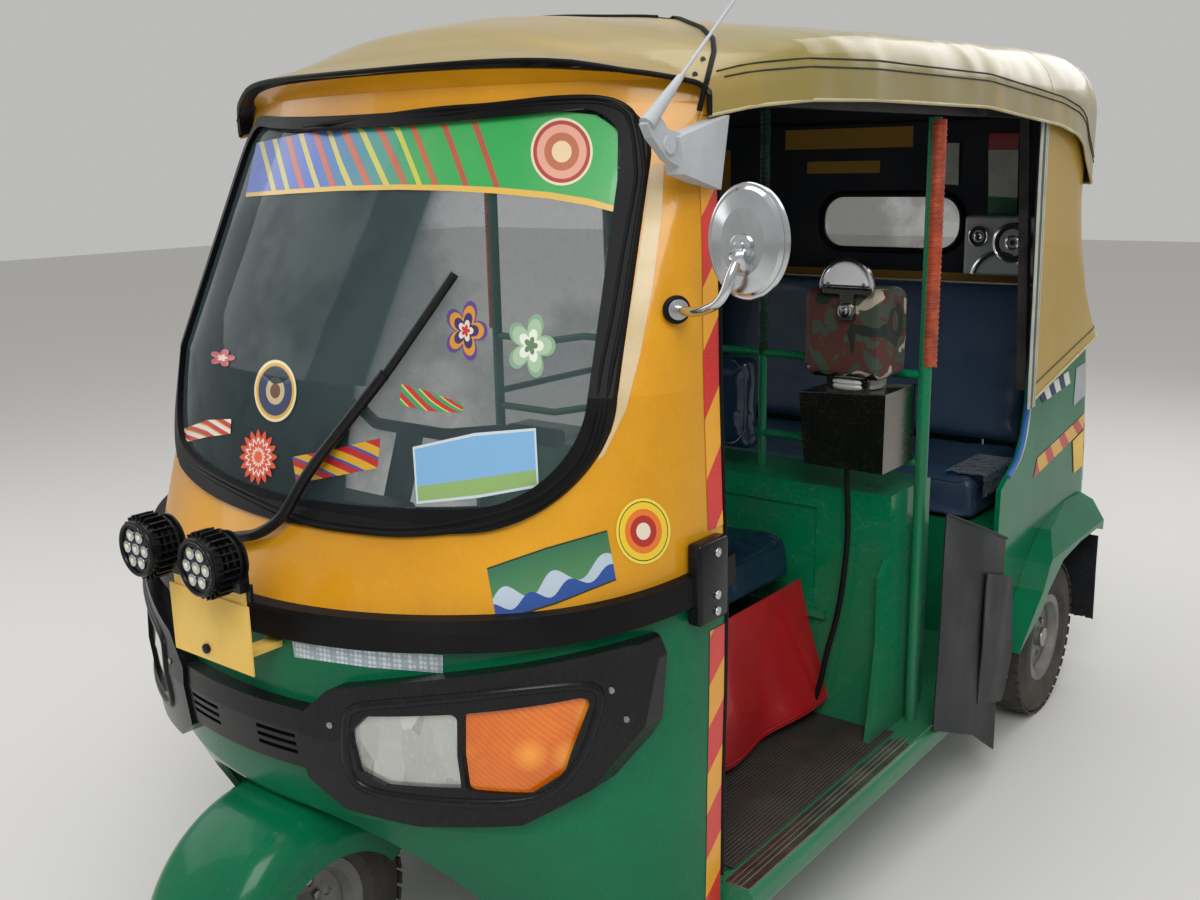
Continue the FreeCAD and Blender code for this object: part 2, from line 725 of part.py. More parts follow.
def make_tub():
    wall = shell(tub_form, 0, tub_wall)
    wall = wall.cut(side_prism(tub_front_outline, -800, 800))
    arch = side_prism(arch_outline, wheel_well_x, 800)
    wall = wall.cut(arch).cut(mirrored(arch)).cut(hatch_prism(hatch_gap))
    inner = tub_form(-1, 0)
    deck = box(-600, 600, 640, 1180, deck_z - 10, deck_z).common(inner)
    seat_front = box(-560, 560, 640, 650, floor_top_z, deck_z - 5).common(inner)
    liner = [(596, 300), (722, 361), (766, 402), (866, 456), (1007, 470), (1180, 469)]
    liner_back = [(y + (3 if i == 0 else 0), z - 8) for i, (y, z) in enumerate(liner)]
    roof_of_well = side_prism(liner + liner_back[::-1], wheel_well_x, 604).common(inner)
    cheek = box(wheel_well_x - 8, wheel_well_x, 650, 1200, 300, 470)
    flare_edge = [(569, 287), (722, 349), (766, 390), (870, 444), (1007, 458), (1175, 457), (1205, 440)]
    flare_top = [(1212, 520), (1163, 549), (1037, 553), (859, 520), (766, 459), (722, 400), (600, 312)]
    flare = side_prism(flare_edge + flare_top, 594, flare_width / 2)
    slope = prism([(594, 500, 200), (flare_width / 2, 500, 200), (flare_width / 2, 500, 468), (594, 500, 575)],
                  (0, 900, 0))
    flare = flare.common(slope)
    flare = flare.cut(tub_form(-tub_wall, 1))
    lug = box(hatch_lug_x - 8, hatch_lug_x + 8, 1236, hatch_hinge_y + 8, hatch_top_z + hatch_gap, hatch_hinge_z + 26)
    lug = lug.fuse(box(hatch_lug_x - 8, hatch_lug_x + 8, hatch_hinge_y - 6, hatch_hinge_y + 8,
                       hatch_hinge_z - 7, hatch_hinge_z + 20))
    lug = lug.cut(tub_form(-tub_wall / 2, 1))
    lug = lug.cut(rod((0, hatch_hinge_y, hatch_hinge_z), (400, hatch_hinge_y, hatch_hinge_z),
                      hatch_pin_radius + bearing_clearance))
    pieces = [wall, lug, mirrored(lug), deck, seat_front, roof_of_well, mirrored(roof_of_well), cheek, mirrored(cheek),
              flare, mirrored(flare)]
    return fuse_all(pieces)


def make_hatch():
    panel = shell(tub_form, 0, tub_wall).common(hatch_prism(0))
    pin = rod((-hatch_lug_x - 12, hatch_hinge_y, hatch_hinge_z),
              (hatch_lug_x + 12, hatch_hinge_y, hatch_hinge_z), hatch_pin_radius)
    leaf = box(-30, 30, hatch_hinge_y - 22, hatch_hinge_y + 2, hatch_top_z - 24, hatch_hinge_z)
    leaves = [leaf.translated(Vector(dx, 0, 0)) for dx in (-170, 170)]
    return fuse_all([panel, pin] + leaves)


hatch_hinge_y = 1272
hatch_hinge_z = hatch_top_z + 2
hatch_pin_radius = 4
hatch_lug_x = 236


def make_rear_bumper():
    reach = rear_y - tub_sections[1][2]
    return shell(tub_form, reach, reach - soft_gap).common(box(-700, 700, 1215, rear_y + 1, 330, 425))


def make_tail_lamps():
    lamp = shell(tub_form, 22, 21.7).common(box(452, 585, 1150, rear_y, 560, 740))
    return both_sides(lamp)


def make_rear_flaps():
    flap = box(505, 655, 1206, 1212, 165, 420)
    return both_sides(flap)


def make_entrance_flaps():
    inner_x = sill_half_width + soft_gap
    panel = side_prism([(87, 274), (99, 755), (466, 607), (433, 85), (300, 180)], inner_x, inner_x + 4)
    wing = side_prism([(316, 250), (330, 560), (500, 507), (517, 328), (470, 200)], inner_x + 12, inner_x + 15)
    hem = side_prism([(330, 540), (330, 560), (500, 507), (500, 487)], inner_x + 4, inner_x + 12)
    return fuse_all([panel, wing, hem])


# Roof, hood and windows

def make_canopy():
    return shell(roof_form, 0, roof_wall).common(roof_edge_prism())


window_half_width = 214
window_low_z = 1200
window_high_z = 1345


def window_prism(grow):
    solid = box(-window_half_width - grow, window_half_width + grow, 1150, rear_y, window_low_z - grow,
                window_high_z + grow)
    return solid.makeFillet(62 + grow, edges_along(solid, Vector(0, 1, 0)))


def make_hood_back():
    wall = shell(curtain_form, 0, curtain_wall)
    rim_z = tub_top_z + soft_gap
    lower_edge = [(600, 870), (738, 900), (1164, rim_z), (1300, rim_z), (1300, 860), (600, 860)]
    wall = wall.cut(side_prism(lower_edge, -800, 800)).cut(window_prism(0))
    front_edge = [(600, 800), (645, 800), (622, 1600), (600, 1600)]
    return wall.cut(side_prism(front_edge, -800, 800))


def make_rear_window():
    return shell(curtain_form, -1, 3).common(window_prism(0))


def make_bow(y):
    """Flat-bar bow that follows the canopy's inner side, from rail to rail."""
    half = hood_rail_x + hood_bar / 2
    crown, crown_radius = roof_at(y)
    inset = roof_wall + bow_clearance
    base = y - hood_bar / 2

    def solid_arch(depth):
        outline = arch_wire(half - depth, crown - inset - hood_rail_z - depth, bow_side_run,
                            crown_radius - inset - depth, lambda u, w: Vector(u, base, hood_rail_z + w))
        return Part.Face(outline).extrude(Vector(0, hood_bar, 0))

    return solid_arch(0).cut(solid_arch(bow_depth))


def flat_bar(low, high, along):
    """Bar between two points, with square ends that face along one axis."""
    half = hood_bar / 2
    x, y, z = low
    if along == "z":
        corners = [(x - half, y - half, z), (x + half, y - half, z), (x + half, y + half, z), (x - half, y + half, z)]
    else:
        corners = [(x - half, y, z - half), (x + half, y, z - half), (x + half, y, z + half), (x - half, y, z + half)]
    return prism(corners, tuple(Vector(*high) - Vector(*low)))


def make_hood_frame():
    """Bows under the canopy, a rail along each eave, bent in at the front, and two posts at each side."""
    rail = flat_bar((hood_rail_x, hood_bend_y, hood_rail_z), (hood_rail_x, hood_rear_y, hood_rail_z), "y")
    front = flat_bar((hood_rail_x, hood_bend_y + 2, hood_rail_z), (538, door_top_y + soft_gap, hood_rail_z), "y")
    side = [rail, front]
    for foot_y, top_y in ((735, 650), (1060, 925)):
        side.append(flat_bar((hood_post_foot_x, foot_y, hood_post_foot_z), (hood_rail_x, top_y, hood_rail_z), "z"))
    return fuse_all(side + [mirrored(solid) for solid in side] + [make_bow(y) for y in bow_stations])


# Fittings

# Mirror head, from its glass side to the front of its back. Columns: y, half width, half height
mirror_sections = [(-750, 62, 78), (-757, 62, 78), (-767, 54, 70), (-773, 34, 46)]
mirror_x = 700
mirror_z = 1350


def make_mirror():
    """Oval mirror head on a bent arm from the left windscreen pillar."""
    ovals = []
    for y, half_width, half_height in mirror_sections:
        centre = Vector(mirror_x, y, mirror_z)
        ellipse = Part.Ellipse(centre + Vector(0, 0, half_height), centre + Vector(half_width, 0, 0), centre)
        ovals.append(Part.Wire(ellipse.toShape()))
    head = Part.makeLoft(ovals, True, True)
    foot = rod((556, -731, 1248), (583, -754, 1250), 15).cut(cowl_form(soft_gap, 1))
    arm = tube([(577, -750, 1249.5), (640, -792, 1252), (690, -806, 1272), (mirror_x, -796, 1318),
                (mirror_x, -762, 1345)], 7)
    return fuse_all([head, foot, arm])


# Aerial: outline of its clamp block and of its lug, seen from the side as (y, z), and the whip's end
aerial_x = 556
aerial_block = [(-748, 1491), (-618, 1523), (-640, 1416), (-735, 1440)]
aerial_lug = [(-730, 1496), (-730, 1448), (-764, 1460), (-802, 1490), (-815, 1508), (-790, 1526), (-764, 1502)]
aerial_holder_low = (567, -806, 1508)
aerial_holder_top = (577, -738, 1573)
aerial_whip_end = (657, -406, 1926)


def make_antenna():
    """Clamp block on the pillar, lug with pivot, tapered holder and a long whip that leans back."""
    block = side_prism(aerial_block, aerial_x - 6, aerial_x + 26).cut(cowl_form(soft_gap, 1))
    lug = side_prism(aerial_lug, aerial_x + 4, aerial_x + 18)
    pivot = rod((aerial_x, -764, 1481), (aerial_x + 22, -764, 1481), 13)
    start, end = Vector(*aerial_holder_low), Vector(*aerial_holder_top)
    holder = Part.makeCone(12, 5, (end - start).Length, start, end - start)
    whip = rod(aerial_holder_top, aerial_whip_end, 2.5)
    return fuse_all([block, lug, pivot, holder, whip])


meter_front_y = -30
meter_rear_y = post_y - 9 - soft_gap


def make_fare_meter():
    """Tapered steel box on the rails, with the padded meter and its round flag on top."""
    low = [(398, 848), (572, 848)]
    high = [(383, 996), (573, 1007)]
    outline = [low[0], low[1], high[1], high[0]]
    box_solid = prism([(x, meter_front_y, z) for x, z in outline], (0, meter_rear_y - meter_front_y, 0))
    collar = box(430, 520, 0, 86, 990, 1030)
    body = box(384, 558, -20, 96, 1028, 1205)
    body = body.makeFillet(22, body.Edges)
    flag = Part.makeCylinder(54, 12, Vector(486, -34, 1215), Vector(0, 1, 0))
    flag = flag.common(box(400, 560, -60, 20, 1200, 1300))
    stem = box(471, 501, -34, -10, 1150, 1215)
    return fuse_all([box_solid, collar, body, flag, stem])


# Meter cable: route points, chosen by hand
cable_radius = 6
cable_route = [(474, 12, 837.4), (478, 8, 790), (486, 2, 715), (482, -2, 620), (468, 0, 520), (446, -6, 430),
               (434, -8, 350), (414, -16, 292), (380, -34, 277)]


def make_speaker():
    front_face = 1080
    body = box(275, 475, front_face, 1150, 1140, 1300)
    rings = [rod((x, front_face, z), (x, front_face - depth, z), radius)
             for x, z, radius, depth in ((413, 1230, 52, 8), (318, 1245, 26, 7))]
    return fuse_all([body.makeFillet(8, body.Edges)] + rings)


# Running gear

def tyre_profile():
    half, outer = tyre_width / 2, tyre_diameter / 2
    seat, flange = rim_well_diameter / 2 + 15, rim_flange_diameter / 2
    bead = rim_width / 2 - 7.5
    return [(-bead, seat), (-bead, flange + 0.5), (-bead - 7, flange + 1), (-half, flange + 18), (-half, outer - 42),
            (-half + 8, outer - 12), (-half + 22, outer - 2), (0, outer), (half - 22, outer - 2), (half - 8, outer - 12),
            (half, outer - 42), (half, flange + 18), (bead + 7, flange + 1), (bead, flange + 0.5), (bead, seat)]


def make_tyre(x, y):
    return turned(tyre_profile(), x, y)


def make_rim(x, y):
    """Pressed steel rim: flanges, drop centre and a dished disc on a hub bored for the axle."""
    half, flange, well = rim_width / 2, rim_flange_diameter / 2, rim_well_diameter / 2
    sheet = 5
    bore = axle_radius + bearing_clearance
    dish = 14
    barrel = [(-half, flange), (-half, well + 9), (-half + 20, well), (half - 20, well), (half, well + 9), (half, flange),
              (half - sheet, flange), (half - sheet - 2, well + 13.7), (half - 22, well + sheet),
              (-half + 22, well + sheet), (-half + sheet + 2, well + 13.7), (-half + sheet, flange)]
    disc = [(dish - 3, well + 2), (dish - 3, hub_diameter / 2 + 14), (dish + 6 - 3, hub_diameter / 2),
            (dish + 6 - 3, bore + 2), (dish + 6 + 3, bore + 2), (dish + 6 + 3, hub_diameter / 2),
            (dish + 3, hub_diameter / 2 + 14), (dish + 3, well + 2)]
    hub = [(-hub_width / 2, bore), (-hub_width / 2, hub_diameter / 2), (hub_width / 2, hub_diameter / 2 - 8),
           (hub_width / 2, bore)]
    rim = fuse_all([turned(barrel, x, y), turned(disc, x, y), turned(hub, x, y)])
    for spoke in range(8):
        angle = math.radians(45 * spoke + 22.5)
        hole_y, hole_z = y + 64 * math.cos(angle), axle_z + 64 * math.sin(angle)
        rim = rim.cut(rod((x - 40, hole_y, hole_z), (x + 40, hole_y, hole_z), 9))
    return rim


def make_rear_suspension():
    """On each side a stub axle and drum plate, a trailing arm to the chassis rail, and a damper."""
    pieces = []
    inner_x = rear_wheel_x - hub_width / 2
    arm_x = inner_x - 54
    axle = rod((arm_x, rear_axle_y, axle_z), (rear_wheel_x + 40, rear_axle_y, axle_z), axle_radius)
    plate = rod((arm_x + 28, rear_axle_y, axle_z), (inner_x - 6, rear_axle_y, axle_z), 74)
    arm = side_prism([(rear_axle_y - 22, axle_z - 26), (rear_axle_y + 30, axle_z - 26), (rear_axle_y + 30, axle_z + 26),
                      (572, axle_z + 30), (550, axle_z + 24), (550, axle_z)], arm_x, arm_x + 30)
    pivot = rod((rail_x + rail_width / 2, 566, axle_z + 12), (arm_x + 1, 566, axle_z + 12), 12)
    damper = rod((arm_x + 14, rear_axle_y + 10, axle_z + 20), (arm_x - 4, rear_axle_y - 10, 448), 15)
    side = fuse_all([axle, plate, arm, pivot, damper])
    return both_sides(side)


def make_engine():
    return box(-170, 170, 700, 1120, rail_top_z + 0.3, 500)


def make_exhaust():
    muffler = rod((-360, 960, 250), (-360, 1230, 250), 45)
    pipe = tube([(-170.3, 900, 300), (-250, 900, 300), (-360, 930, 262), (-360, 1000, 250)], 14, 40)
    return fuse_all([muffler, pipe])


# Steering

fork_leg_x = -67
link_half_thickness = 9


def make_front_fork():
    """Column with handlebar, stem, side leg, link plate, damper and stub axle."""
    top, low = on_steering_axis(handlebar_z), on_steering_axis(452)
    column = rod(low, top, column_radius - bearing_clearance)
    stem_end = on_steering_axis(398.8)
    pieces = [column, rod(on_steering_axis(470), stem_end, 14), rod(stem_end, (fork_leg_x, stem_end[1], stem_end[2]), 8)]
    pieces.append(rod((fork_leg_x, stem_end[1], stem_end[2]), (fork_leg_x, front_axle_y + 128, 250), 8.5))
    link = side_prism([(front_axle_y - 17, axle_z - 17), (front_axle_y + 6, axle_z - 20), (front_axle_y + 142, 232),
                       (front_axle_y + 146, 258), (front_axle_y + 124, 268), (front_axle_y - 12, axle_z + 19)],
                      fork_leg_x - link_half_thickness, fork_leg_x + link_half_thickness)
    pieces.append(link)
    pieces.append(rod((fork_leg_x, front_axle_y, axle_z), (40, front_axle_y, axle_z), axle_radius))
    pieces.append(rod((fork_leg_x, front_axle_y + 50, 224), (fork_leg_x, front_axle_y + 104, 375), 8.5))
    bar = [(-292, top[1] + 62, handlebar_z + 10), (-180, top[1] + 44, handlebar_z + 14), (-90, top[1], handlebar_z + 4),
           (90, top[1], handlebar_z + 4), (180, top[1] + 44, handlebar_z + 14), (292, top[1] + 62, handlebar_z + 10)]
    pieces.append(tube(bar, 11, 60))
    grip_in, grip_out = Vector(*bar[-2]), Vector(*bar[-1])
    along = (grip_out - grip_in).normalize()
    start, end = grip_out - along * 95, grip_out + along * 3
    for side in (-1, 1):
        pieces.append(rod((side * start.x, start.y, start.z), (side * end.x, end.y, end.z), 16))
    return fuse_all(pieces)


guard_half_width = 122
guard_wall = 3
guard_skirt_radius = 150
guard_side_run = 28
guard_crown_radius = 420
guard_rear_angle = 54
guard_sweep = 150


def guard_solid(inset, overrun):
    """The guard's dome, turned about the axle from behind the wheel to its front."""
    base = axle_z + guard_skirt_radius
    outline = arch_wire(guard_half_width - inset, guard_outer_radius - guard_skirt_radius - inset + overrun,
                        guard_side_run + overrun, guard_crown_radius - inset,
                        lambda u, w: Vector(u, front_axle_y, base - overrun + w))
    face = Part.Face(outline)
    centre = Vector(0, front_axle_y, axle_z)
    face.rotate(centre, Vector(1, 0, 0), -guard_rear_angle - overrun)
    return face.revolve(centre, Vector(1, 0, 0), guard_sweep + 2 * overrun)


def make_front_mudguard():
    """Deep rounded guard, open below, with a hole for the stem."""
    guard = guard_solid(0, 0).cut(guard_solid(guard_wall, 1))
    return guard.cut(rod(on_steering_axis(340), on_steering_axis(460), 15))


def main():
    export_node("chassis_frame", make_chassis())
    export_node("floor_pan", make_floor())
    export_node("sill_plates", make_sill_plates())
    export_node("cowl_lower", make_cowl_lower())
    export_node("cowl_upper", make_cowl_upper())
    export_node("windscreen_gasket", make_gasket())
    export_node("windscreen", make_windscreen())
    export_node("belt_moulding", make_belt_moulding())
    export_node("lamp_surrounds", make_lamp_surround())
    export_node("headlamp_lenses", make_lens(lens_outline))
    export_node("front_indicators", make_lens(indicator_outline))
    export_node("bumper_centre", make_bumper_centre())
    export_node("front_plate", make_front_plate())
    export_node("spot_lamps", make_spot_lamps())
    export_node("wiper", make_wiper())
    export_node("wheel_housing", make_wheel_housing())
    export_node("dashboard", make_dashboard())
    export_node("partition", make_partition())
    export_node("partition_rails", make_rails())
    export_node("driver_seat_base", make_driver_base())
    export_node("driver_cushion", make_driver_cushion())
    export_node("driver_backrest", make_driver_back())
    export_node("passenger_cushion", make_passenger_cushion())
    export_node("passenger_backrest", make_passenger_back())
    export_node("rear_tub", make_tub())
    export_node("engine_hatch", make_hatch())
    export_node("rear_bumper", make_rear_bumper())
    export_node("tail_lamps", make_tail_lamps())
    export_node("rear_mud_flaps", make_rear_flaps())
    export_node("entrance_flaps", make_entrance_flaps())
    export_node("canopy", make_canopy())
    export_node("hood_back", make_hood_back())
    export_node("rear_window", make_rear_window())
    export_node("hood_frame", make_hood_frame())
    export_node("mirror", make_mirror())
    export_node("antenna", make_antenna())
    export_node("fare_meter", make_fare_meter())
    cable_wire, cable_radii = route_wire(cable_route)
    cable = tube(cable_route, cable_radius)
    export_node("meter_cable", cable)
    print("cable radii", [round(radius) for radius in cable_radii], "length", round(cable_wire.Length))
    print("cable volume over section times length",
          round(cable.Volume / (math.pi * cable_radius ** 2 * cable_wire.Length), 4))
    export_node("speaker", make_speaker())
    export_node("rear_suspension", make_rear_suspension())
    export_node("engine", make_engine())
    export_node("exhaust", make_exhaust())
    export_node("front_fork", make_front_fork())
    export_node("front_mudguard", make_front_mudguard())
    export_node("front_tyre", make_tyre(0, front_axle_y))
    export_node("front_rim", make_rim(0, front_axle_y))
    for side, place in (("left", lambda solid: solid), ("right", mirrored)):
        export_node(side + "_tyre", place(make_tyre(rear_wheel_x, rear_axle_y)))
        export_node(side + "_rim", place(make_rim(rear_wheel_x, rear_axle_y)))


main()
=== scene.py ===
import bpy
import math
from mathutils import Matrix, Vector, noise
from mathutils.bvhtree import BVHTree


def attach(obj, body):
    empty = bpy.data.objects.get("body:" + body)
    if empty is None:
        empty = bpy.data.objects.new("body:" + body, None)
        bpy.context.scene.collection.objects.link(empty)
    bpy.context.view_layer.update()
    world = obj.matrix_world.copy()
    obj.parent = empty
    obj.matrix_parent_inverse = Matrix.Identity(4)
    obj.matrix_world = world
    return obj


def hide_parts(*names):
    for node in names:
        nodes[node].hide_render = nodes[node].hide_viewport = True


# Auto rickshaw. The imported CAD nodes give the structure, and this file gives them their looks.
# x = middleX is the vehicle's middle plane, the front faces -Y and the vehicle's left side is +X.
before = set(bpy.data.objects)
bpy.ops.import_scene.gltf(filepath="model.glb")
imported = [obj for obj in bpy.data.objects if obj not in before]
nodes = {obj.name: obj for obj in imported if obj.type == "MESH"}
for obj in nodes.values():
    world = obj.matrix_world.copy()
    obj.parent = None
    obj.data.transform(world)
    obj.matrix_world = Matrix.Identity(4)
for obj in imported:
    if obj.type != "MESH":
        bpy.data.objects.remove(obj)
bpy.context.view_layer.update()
middleX = -0.0485

# The camera, solved from the photograph
camera = {"place": (1.5285, -2.2055, 1.457), "yaw": 38.23, "down": 13.217, "roll": -1.137, "lens": 36.565,
          "sensor": 36.0, "focal": 1218.8, "centre": (600, 450)}

yaw, down, roll = (math.radians(camera[key]) for key in ("yaw", "down", "roll"))
ahead = Vector((-math.sin(yaw) * math.cos(down), math.cos(yaw) * math.cos(down), -math.sin(down)))
across = Vector((math.cos(yaw), math.sin(yaw), 0))
below = ahead.cross(across)
across, below = (across * math.cos(roll) - below * math.sin(roll), across * math.sin(roll) + below * math.cos(roll))
bpy.ops.object.camera_add(location=camera["place"])
viewCamera = bpy.context.object
viewCamera.data.lens = camera["lens"]
viewCamera.data.sensor_width = camera["sensor"]
viewCamera.matrix_world = Matrix.Translation(camera["place"]) @ Matrix((across, -below,
                                                                        -ahead)).transposed().to_4x4()
bpy.context.scene.camera = viewCamera

# The meter's cable, one NURBS line through the route's points, in metres
cable = {"radius": 0.006, "share": 0.02, "length": 0.594, "exit": (0.4255, 0.012, 0.8374),
         "route": [(0.4255, 0.012, 0.8374), (0.4295, 0.008, 0.790), (0.4375, 0.002, 0.715), (0.4335, -0.002, 0.620),
                   (0.4195, 0.0, 0.520), (0.3975, -0.006, 0.430), (0.3855, -0.008, 0.350), (0.3655, -0.016, 0.292),
                   (0.3315, -0.034, 0.277)]}
cableCurve = bpy.data.curves.new("meter_cable_line", "CURVE")
cableCurve.dimensions = "3D"
cableCurve.bevel_depth = cable["radius"] / cable["share"]
cableCurve.bevel_resolution = 3
cableLine = cableCurve.splines.new("NURBS")
cableLine.points.add(len(cable["route"]) - 1)
for point, place in zip(cableLine.points, cable["route"]):
    point.co = (*place, 1)
    point.radius = cable["share"]
cableLine.order_u = 3
cableLine.use_endpoint_u = True
meterCable = bpy.data.objects.new("meter_cable_line", cableCurve)
bpy.context.scene.collection.objects.link(meterCable)
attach(meterCable, "body")
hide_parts("meter_cable")


# Small helpers for modelling

def deselectAll():
    if bpy.context.object and bpy.context.object.mode != "OBJECT":
        bpy.ops.object.mode_set(mode="OBJECT")
    bpy.ops.object.select_all(action="DESELECT")


def pick(piece):
    deselectAll()
    piece.select_set(True)
    bpy.context.view_layer.objects.active = piece
    return piece


def named(name):
    piece = bpy.context.object
    piece.name = name
    piece.data.name = name
    return piece


def settle(piece):
    # the place, turn and scale go into the mesh
    pick(piece)
    bpy.ops.object.transform_apply(location=True, rotation=True, scale=True)
    return piece


def finishWith(piece, kind, **values):
    pick(piece)
    modifier = piece.modifiers.new(kind.title(), kind)
    for key, value in values.items():
        setattr(modifier, key, value)
    bpy.ops.object.modifier_apply(modifier=modifier.name)
    return piece


def smoothBy(piece, angle=35):
    pick(piece)
    bpy.ops.object.shade_smooth_by_angle(angle=math.radians(angle))
    return piece


def dress(piece, finish, body="body", angle=35):
    settle(piece)
    if piece.type == "MESH":
        smoothBy(piece, angle)
    piece.data.materials.clear()
    piece.data.materials.append(finishes[finish])
    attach(piece, body)
    return piece


def editAll(piece):
    pick(piece)
    bpy.ops.object.mode_set(mode="EDIT")
    bpy.ops.mesh.select_all(action="SELECT")


def editDone():
    bpy.ops.object.mode_set(mode="OBJECT")


def recalculate(piece):
    editAll(piece)
    bpy.ops.mesh.remove_doubles(threshold=0.00005)
    bpy.ops.mesh.normals_make_consistent(inside=False)
    editDone()
    return piece


def copyOf(piece, name, mirror=False, shift=(0, 0, 0)):
    # an own copy of the mesh, moved or mirrored about the vehicle's middle plane
    deselectAll()
    copy = piece.copy()
    copy.data = piece.data.copy()
    copy.name = copy.data.name = name
    bpy.context.scene.collection.objects.link(copy)
    if mirror:
        copy.data.transform(Matrix.Translation((2 * middleX, 0, 0)) @ Matrix.Scale(-1, 4, (1, 0, 0)))
        copy.data.flip_normals()
    copy.data.transform(Matrix.Translation(shift))
    return copy


def beadOn(name, points, radius, finish, slot="black_rubber", **form):
    return dress(tubeAlong(name, points, radius, **form), finish)


def bothSides(piece, finish, angle=35, right=None):
    # the piece on the left is dressed, and so is its mirrored copy on the right
    dress(piece, finish, angle=angle)
    dress(copyOf(piece, right or piece.name + "_right", mirror=True), finish, angle=angle)


def pixelRay(px, py):
    side, drop = (px - camera["centre"][0]) / camera["focal"], (py - camera["centre"][1]) / camera["focal"]
    return (ahead + across * side + below * drop).normalized()


nodeForms = {}
nodeMiddles = {}


def castOn(target, origin, direction):
    # the first place where a ray meets a CAD node, hidden or not
    if target not in nodeForms:
        mesh = nodes[target].data
        nodeForms[target] = BVHTree.FromPolygons([corner.co for corner in mesh.vertices],
                                                 [face.vertices for face in mesh.polygons])
    return nodeForms[target].ray_cast(Vector(origin), Vector(direction).normalized())


def pixelOf(place):
    away = Vector(place) - Vector(camera["place"])
    scale = camera["focal"] / away.dot(ahead)
    return camera["centre"][0] + away.dot(across) * scale, camera["centre"][1] + away.dot(below) * scale


def seenOn(target, px, py, gap=0.0008):
    # the place on a CAD node that the photograph shows at this pixel
    # or, where it just passes the outline, at the next one towards or from the node's middle
    if target not in nodeMiddles:
        corners = nodes[target].data.vertices
        nodeMiddles[target] = pixelOf(sum((corner.co for corner in corners), Vector()) / len(corners))
    middle = nodeMiddles[target]
    for step in sorted(range(-12, 30), key=abs):
        inwards = Vector((middle[0] - px, middle[1] - py)).normalized() * step
        spot, normal, _, _ = castOn(target, camera["place"], pixelRay(px + inwards.x, py + inwards.y))
        if spot:
            return spot + normal * gap
    raise ValueError(f"pixel {px},{py} misses {target}")


filmLift = 0.0013  # how far stickers lie off the glass, in metres
clearSide = 900  # where sideways rays start, in millimetres from the middle plane


def hitOn(target, origin, direction, gap=0.0008):
    spot, normal, _, _ = castOn(target, origin, direction)
    return (spot + normal * gap, normal) if spot else (None, None)


def gridSheet(name, columns, rows, place):
    # a grid whose corner (u, v) goes to place(u, v); its UV map keeps u and v
    deselectAll()
    bpy.ops.mesh.primitive_grid_add(x_subdivisions=columns, y_subdivisions=rows, size=1, calc_uvs=True)
    sheet = named(name)
    for corner in sheet.data.vertices:
        corner.co = place(corner.co.x + 0.5, corner.co.y + 0.5)
    return sheet


def thickened(sheet, thickness, offset=1.0):
    finishWith(sheet, "SOLIDIFY", thickness=thickness, offset=offset)
    return recalculate(sheet)


def tubeAlong(name, points, radius, closed=False, sides=2, taper=None):
    # a round bead, pipe or stitch line that follows the points
    deselectAll()
    curve = bpy.data.curves.new(name, "CURVE")
    curve.dimensions = "3D"
    curve.bevel_depth = radius
    curve.bevel_resolution = sides
    curve.use_fill_caps = True
    line = curve.splines.new("POLY")
    line.points.add(len(points) - 1)
    for index, (point, place) in enumerate(zip(line.points, points)):
        point.co = (*place, 1)
        if taper:
            point.radius = taper[index]
    line.use_cyclic_u = closed
    piece = bpy.data.objects.new(name, curve)
    bpy.context.scene.collection.objects.link(piece)
    pick(piece)
    bpy.ops.object.convert(target="MESH")
    return named(name)


def joined(name, pieces):
    deselectAll()
    for piece in pieces:
        piece.select_set(True)
    bpy.context.view_layer.objects.active = pieces[0]
    bpy.ops.object.join()
    return named(name)


# Material helpers. Colours are written as in the photograph and turned into light values.

def tint(code):
    values = [int(code[i:i + 2], 16) / 255 for i in (0, 2, 4)]
    return (*[v / 12.92 if v <= 0.04045 else ((v + 0.055) / 1.055) ** 2.4 for v in values], 1.0)


def addNode(tree, kind, inputs=None, **settings):
    made = tree.nodes.new(kind)
    for key, value in settings.items():
        setattr(made, key, value)
    for key, value in (inputs or {}).items():
        if isinstance(value, bpy.types.NodeSocket):
            tree.links.new(value, made.inputs[key])
        else:
            made.inputs[key].default_value = value
    return made


def objectPlace(tree):
    return addNode(tree, "ShaderNodeTexCoord").outputs["Object"]


def uvOf(tree):
    return addNode(tree, "ShaderNodeSeparateXYZ", {0: addNode(tree, "ShaderNodeTexCoord").outputs["UV"]}).outputs


def mapped(tree, spot, **changes):
    inputs = {key.title(): value for key, value in changes.items()}
    return addNode(tree, "ShaderNodeMapping", {"Vector": spot, **inputs}).outputs[0]


def noiseOn(tree, spot, scale, detail, **more):
    inputs = {key.title(): value for key, value in more.items()}
    return addNode(tree, "ShaderNodeTexNoise", {"Vector": spot, "Scale": scale, "Detail": detail,
                                                **inputs}).outputs["Fac"]


def cellsOn(tree, spot, scale, randomness=1.0, output="Distance"):
    inputs = {"Vector": spot, "Scale": scale, "Randomness": randomness}
    return addNode(tree, "ShaderNodeTexVoronoi", inputs).outputs[output]


def mixColor(tree, share, first, second, blend="MIX"):
    return addNode(tree, "ShaderNodeMix", {0: share, 6: first, 7: second},
                   data_type="RGBA", blend_type=blend).outputs[2]


def calc(tree, operation, *values):
    return addNode(tree, "ShaderNodeMath", dict(enumerate(values)), operation=operation).outputs[0]


def times(tree, first, second):
    return calc(tree, "MULTIPLY", first, second)


def apart(tree, first, second):
    return calc(tree, "ABSOLUTE", calc(tree, "SUBTRACT", first, second))


def spread(tree, value, fromLow, fromHigh, low=0.0, high=1.0):
    return addNode(tree, "ShaderNodeMapRange", {"Value": value, "From Min": fromLow, "From Max": fromHigh,
                                                "To Min": low, "To Max": high}).outputs["Result"]


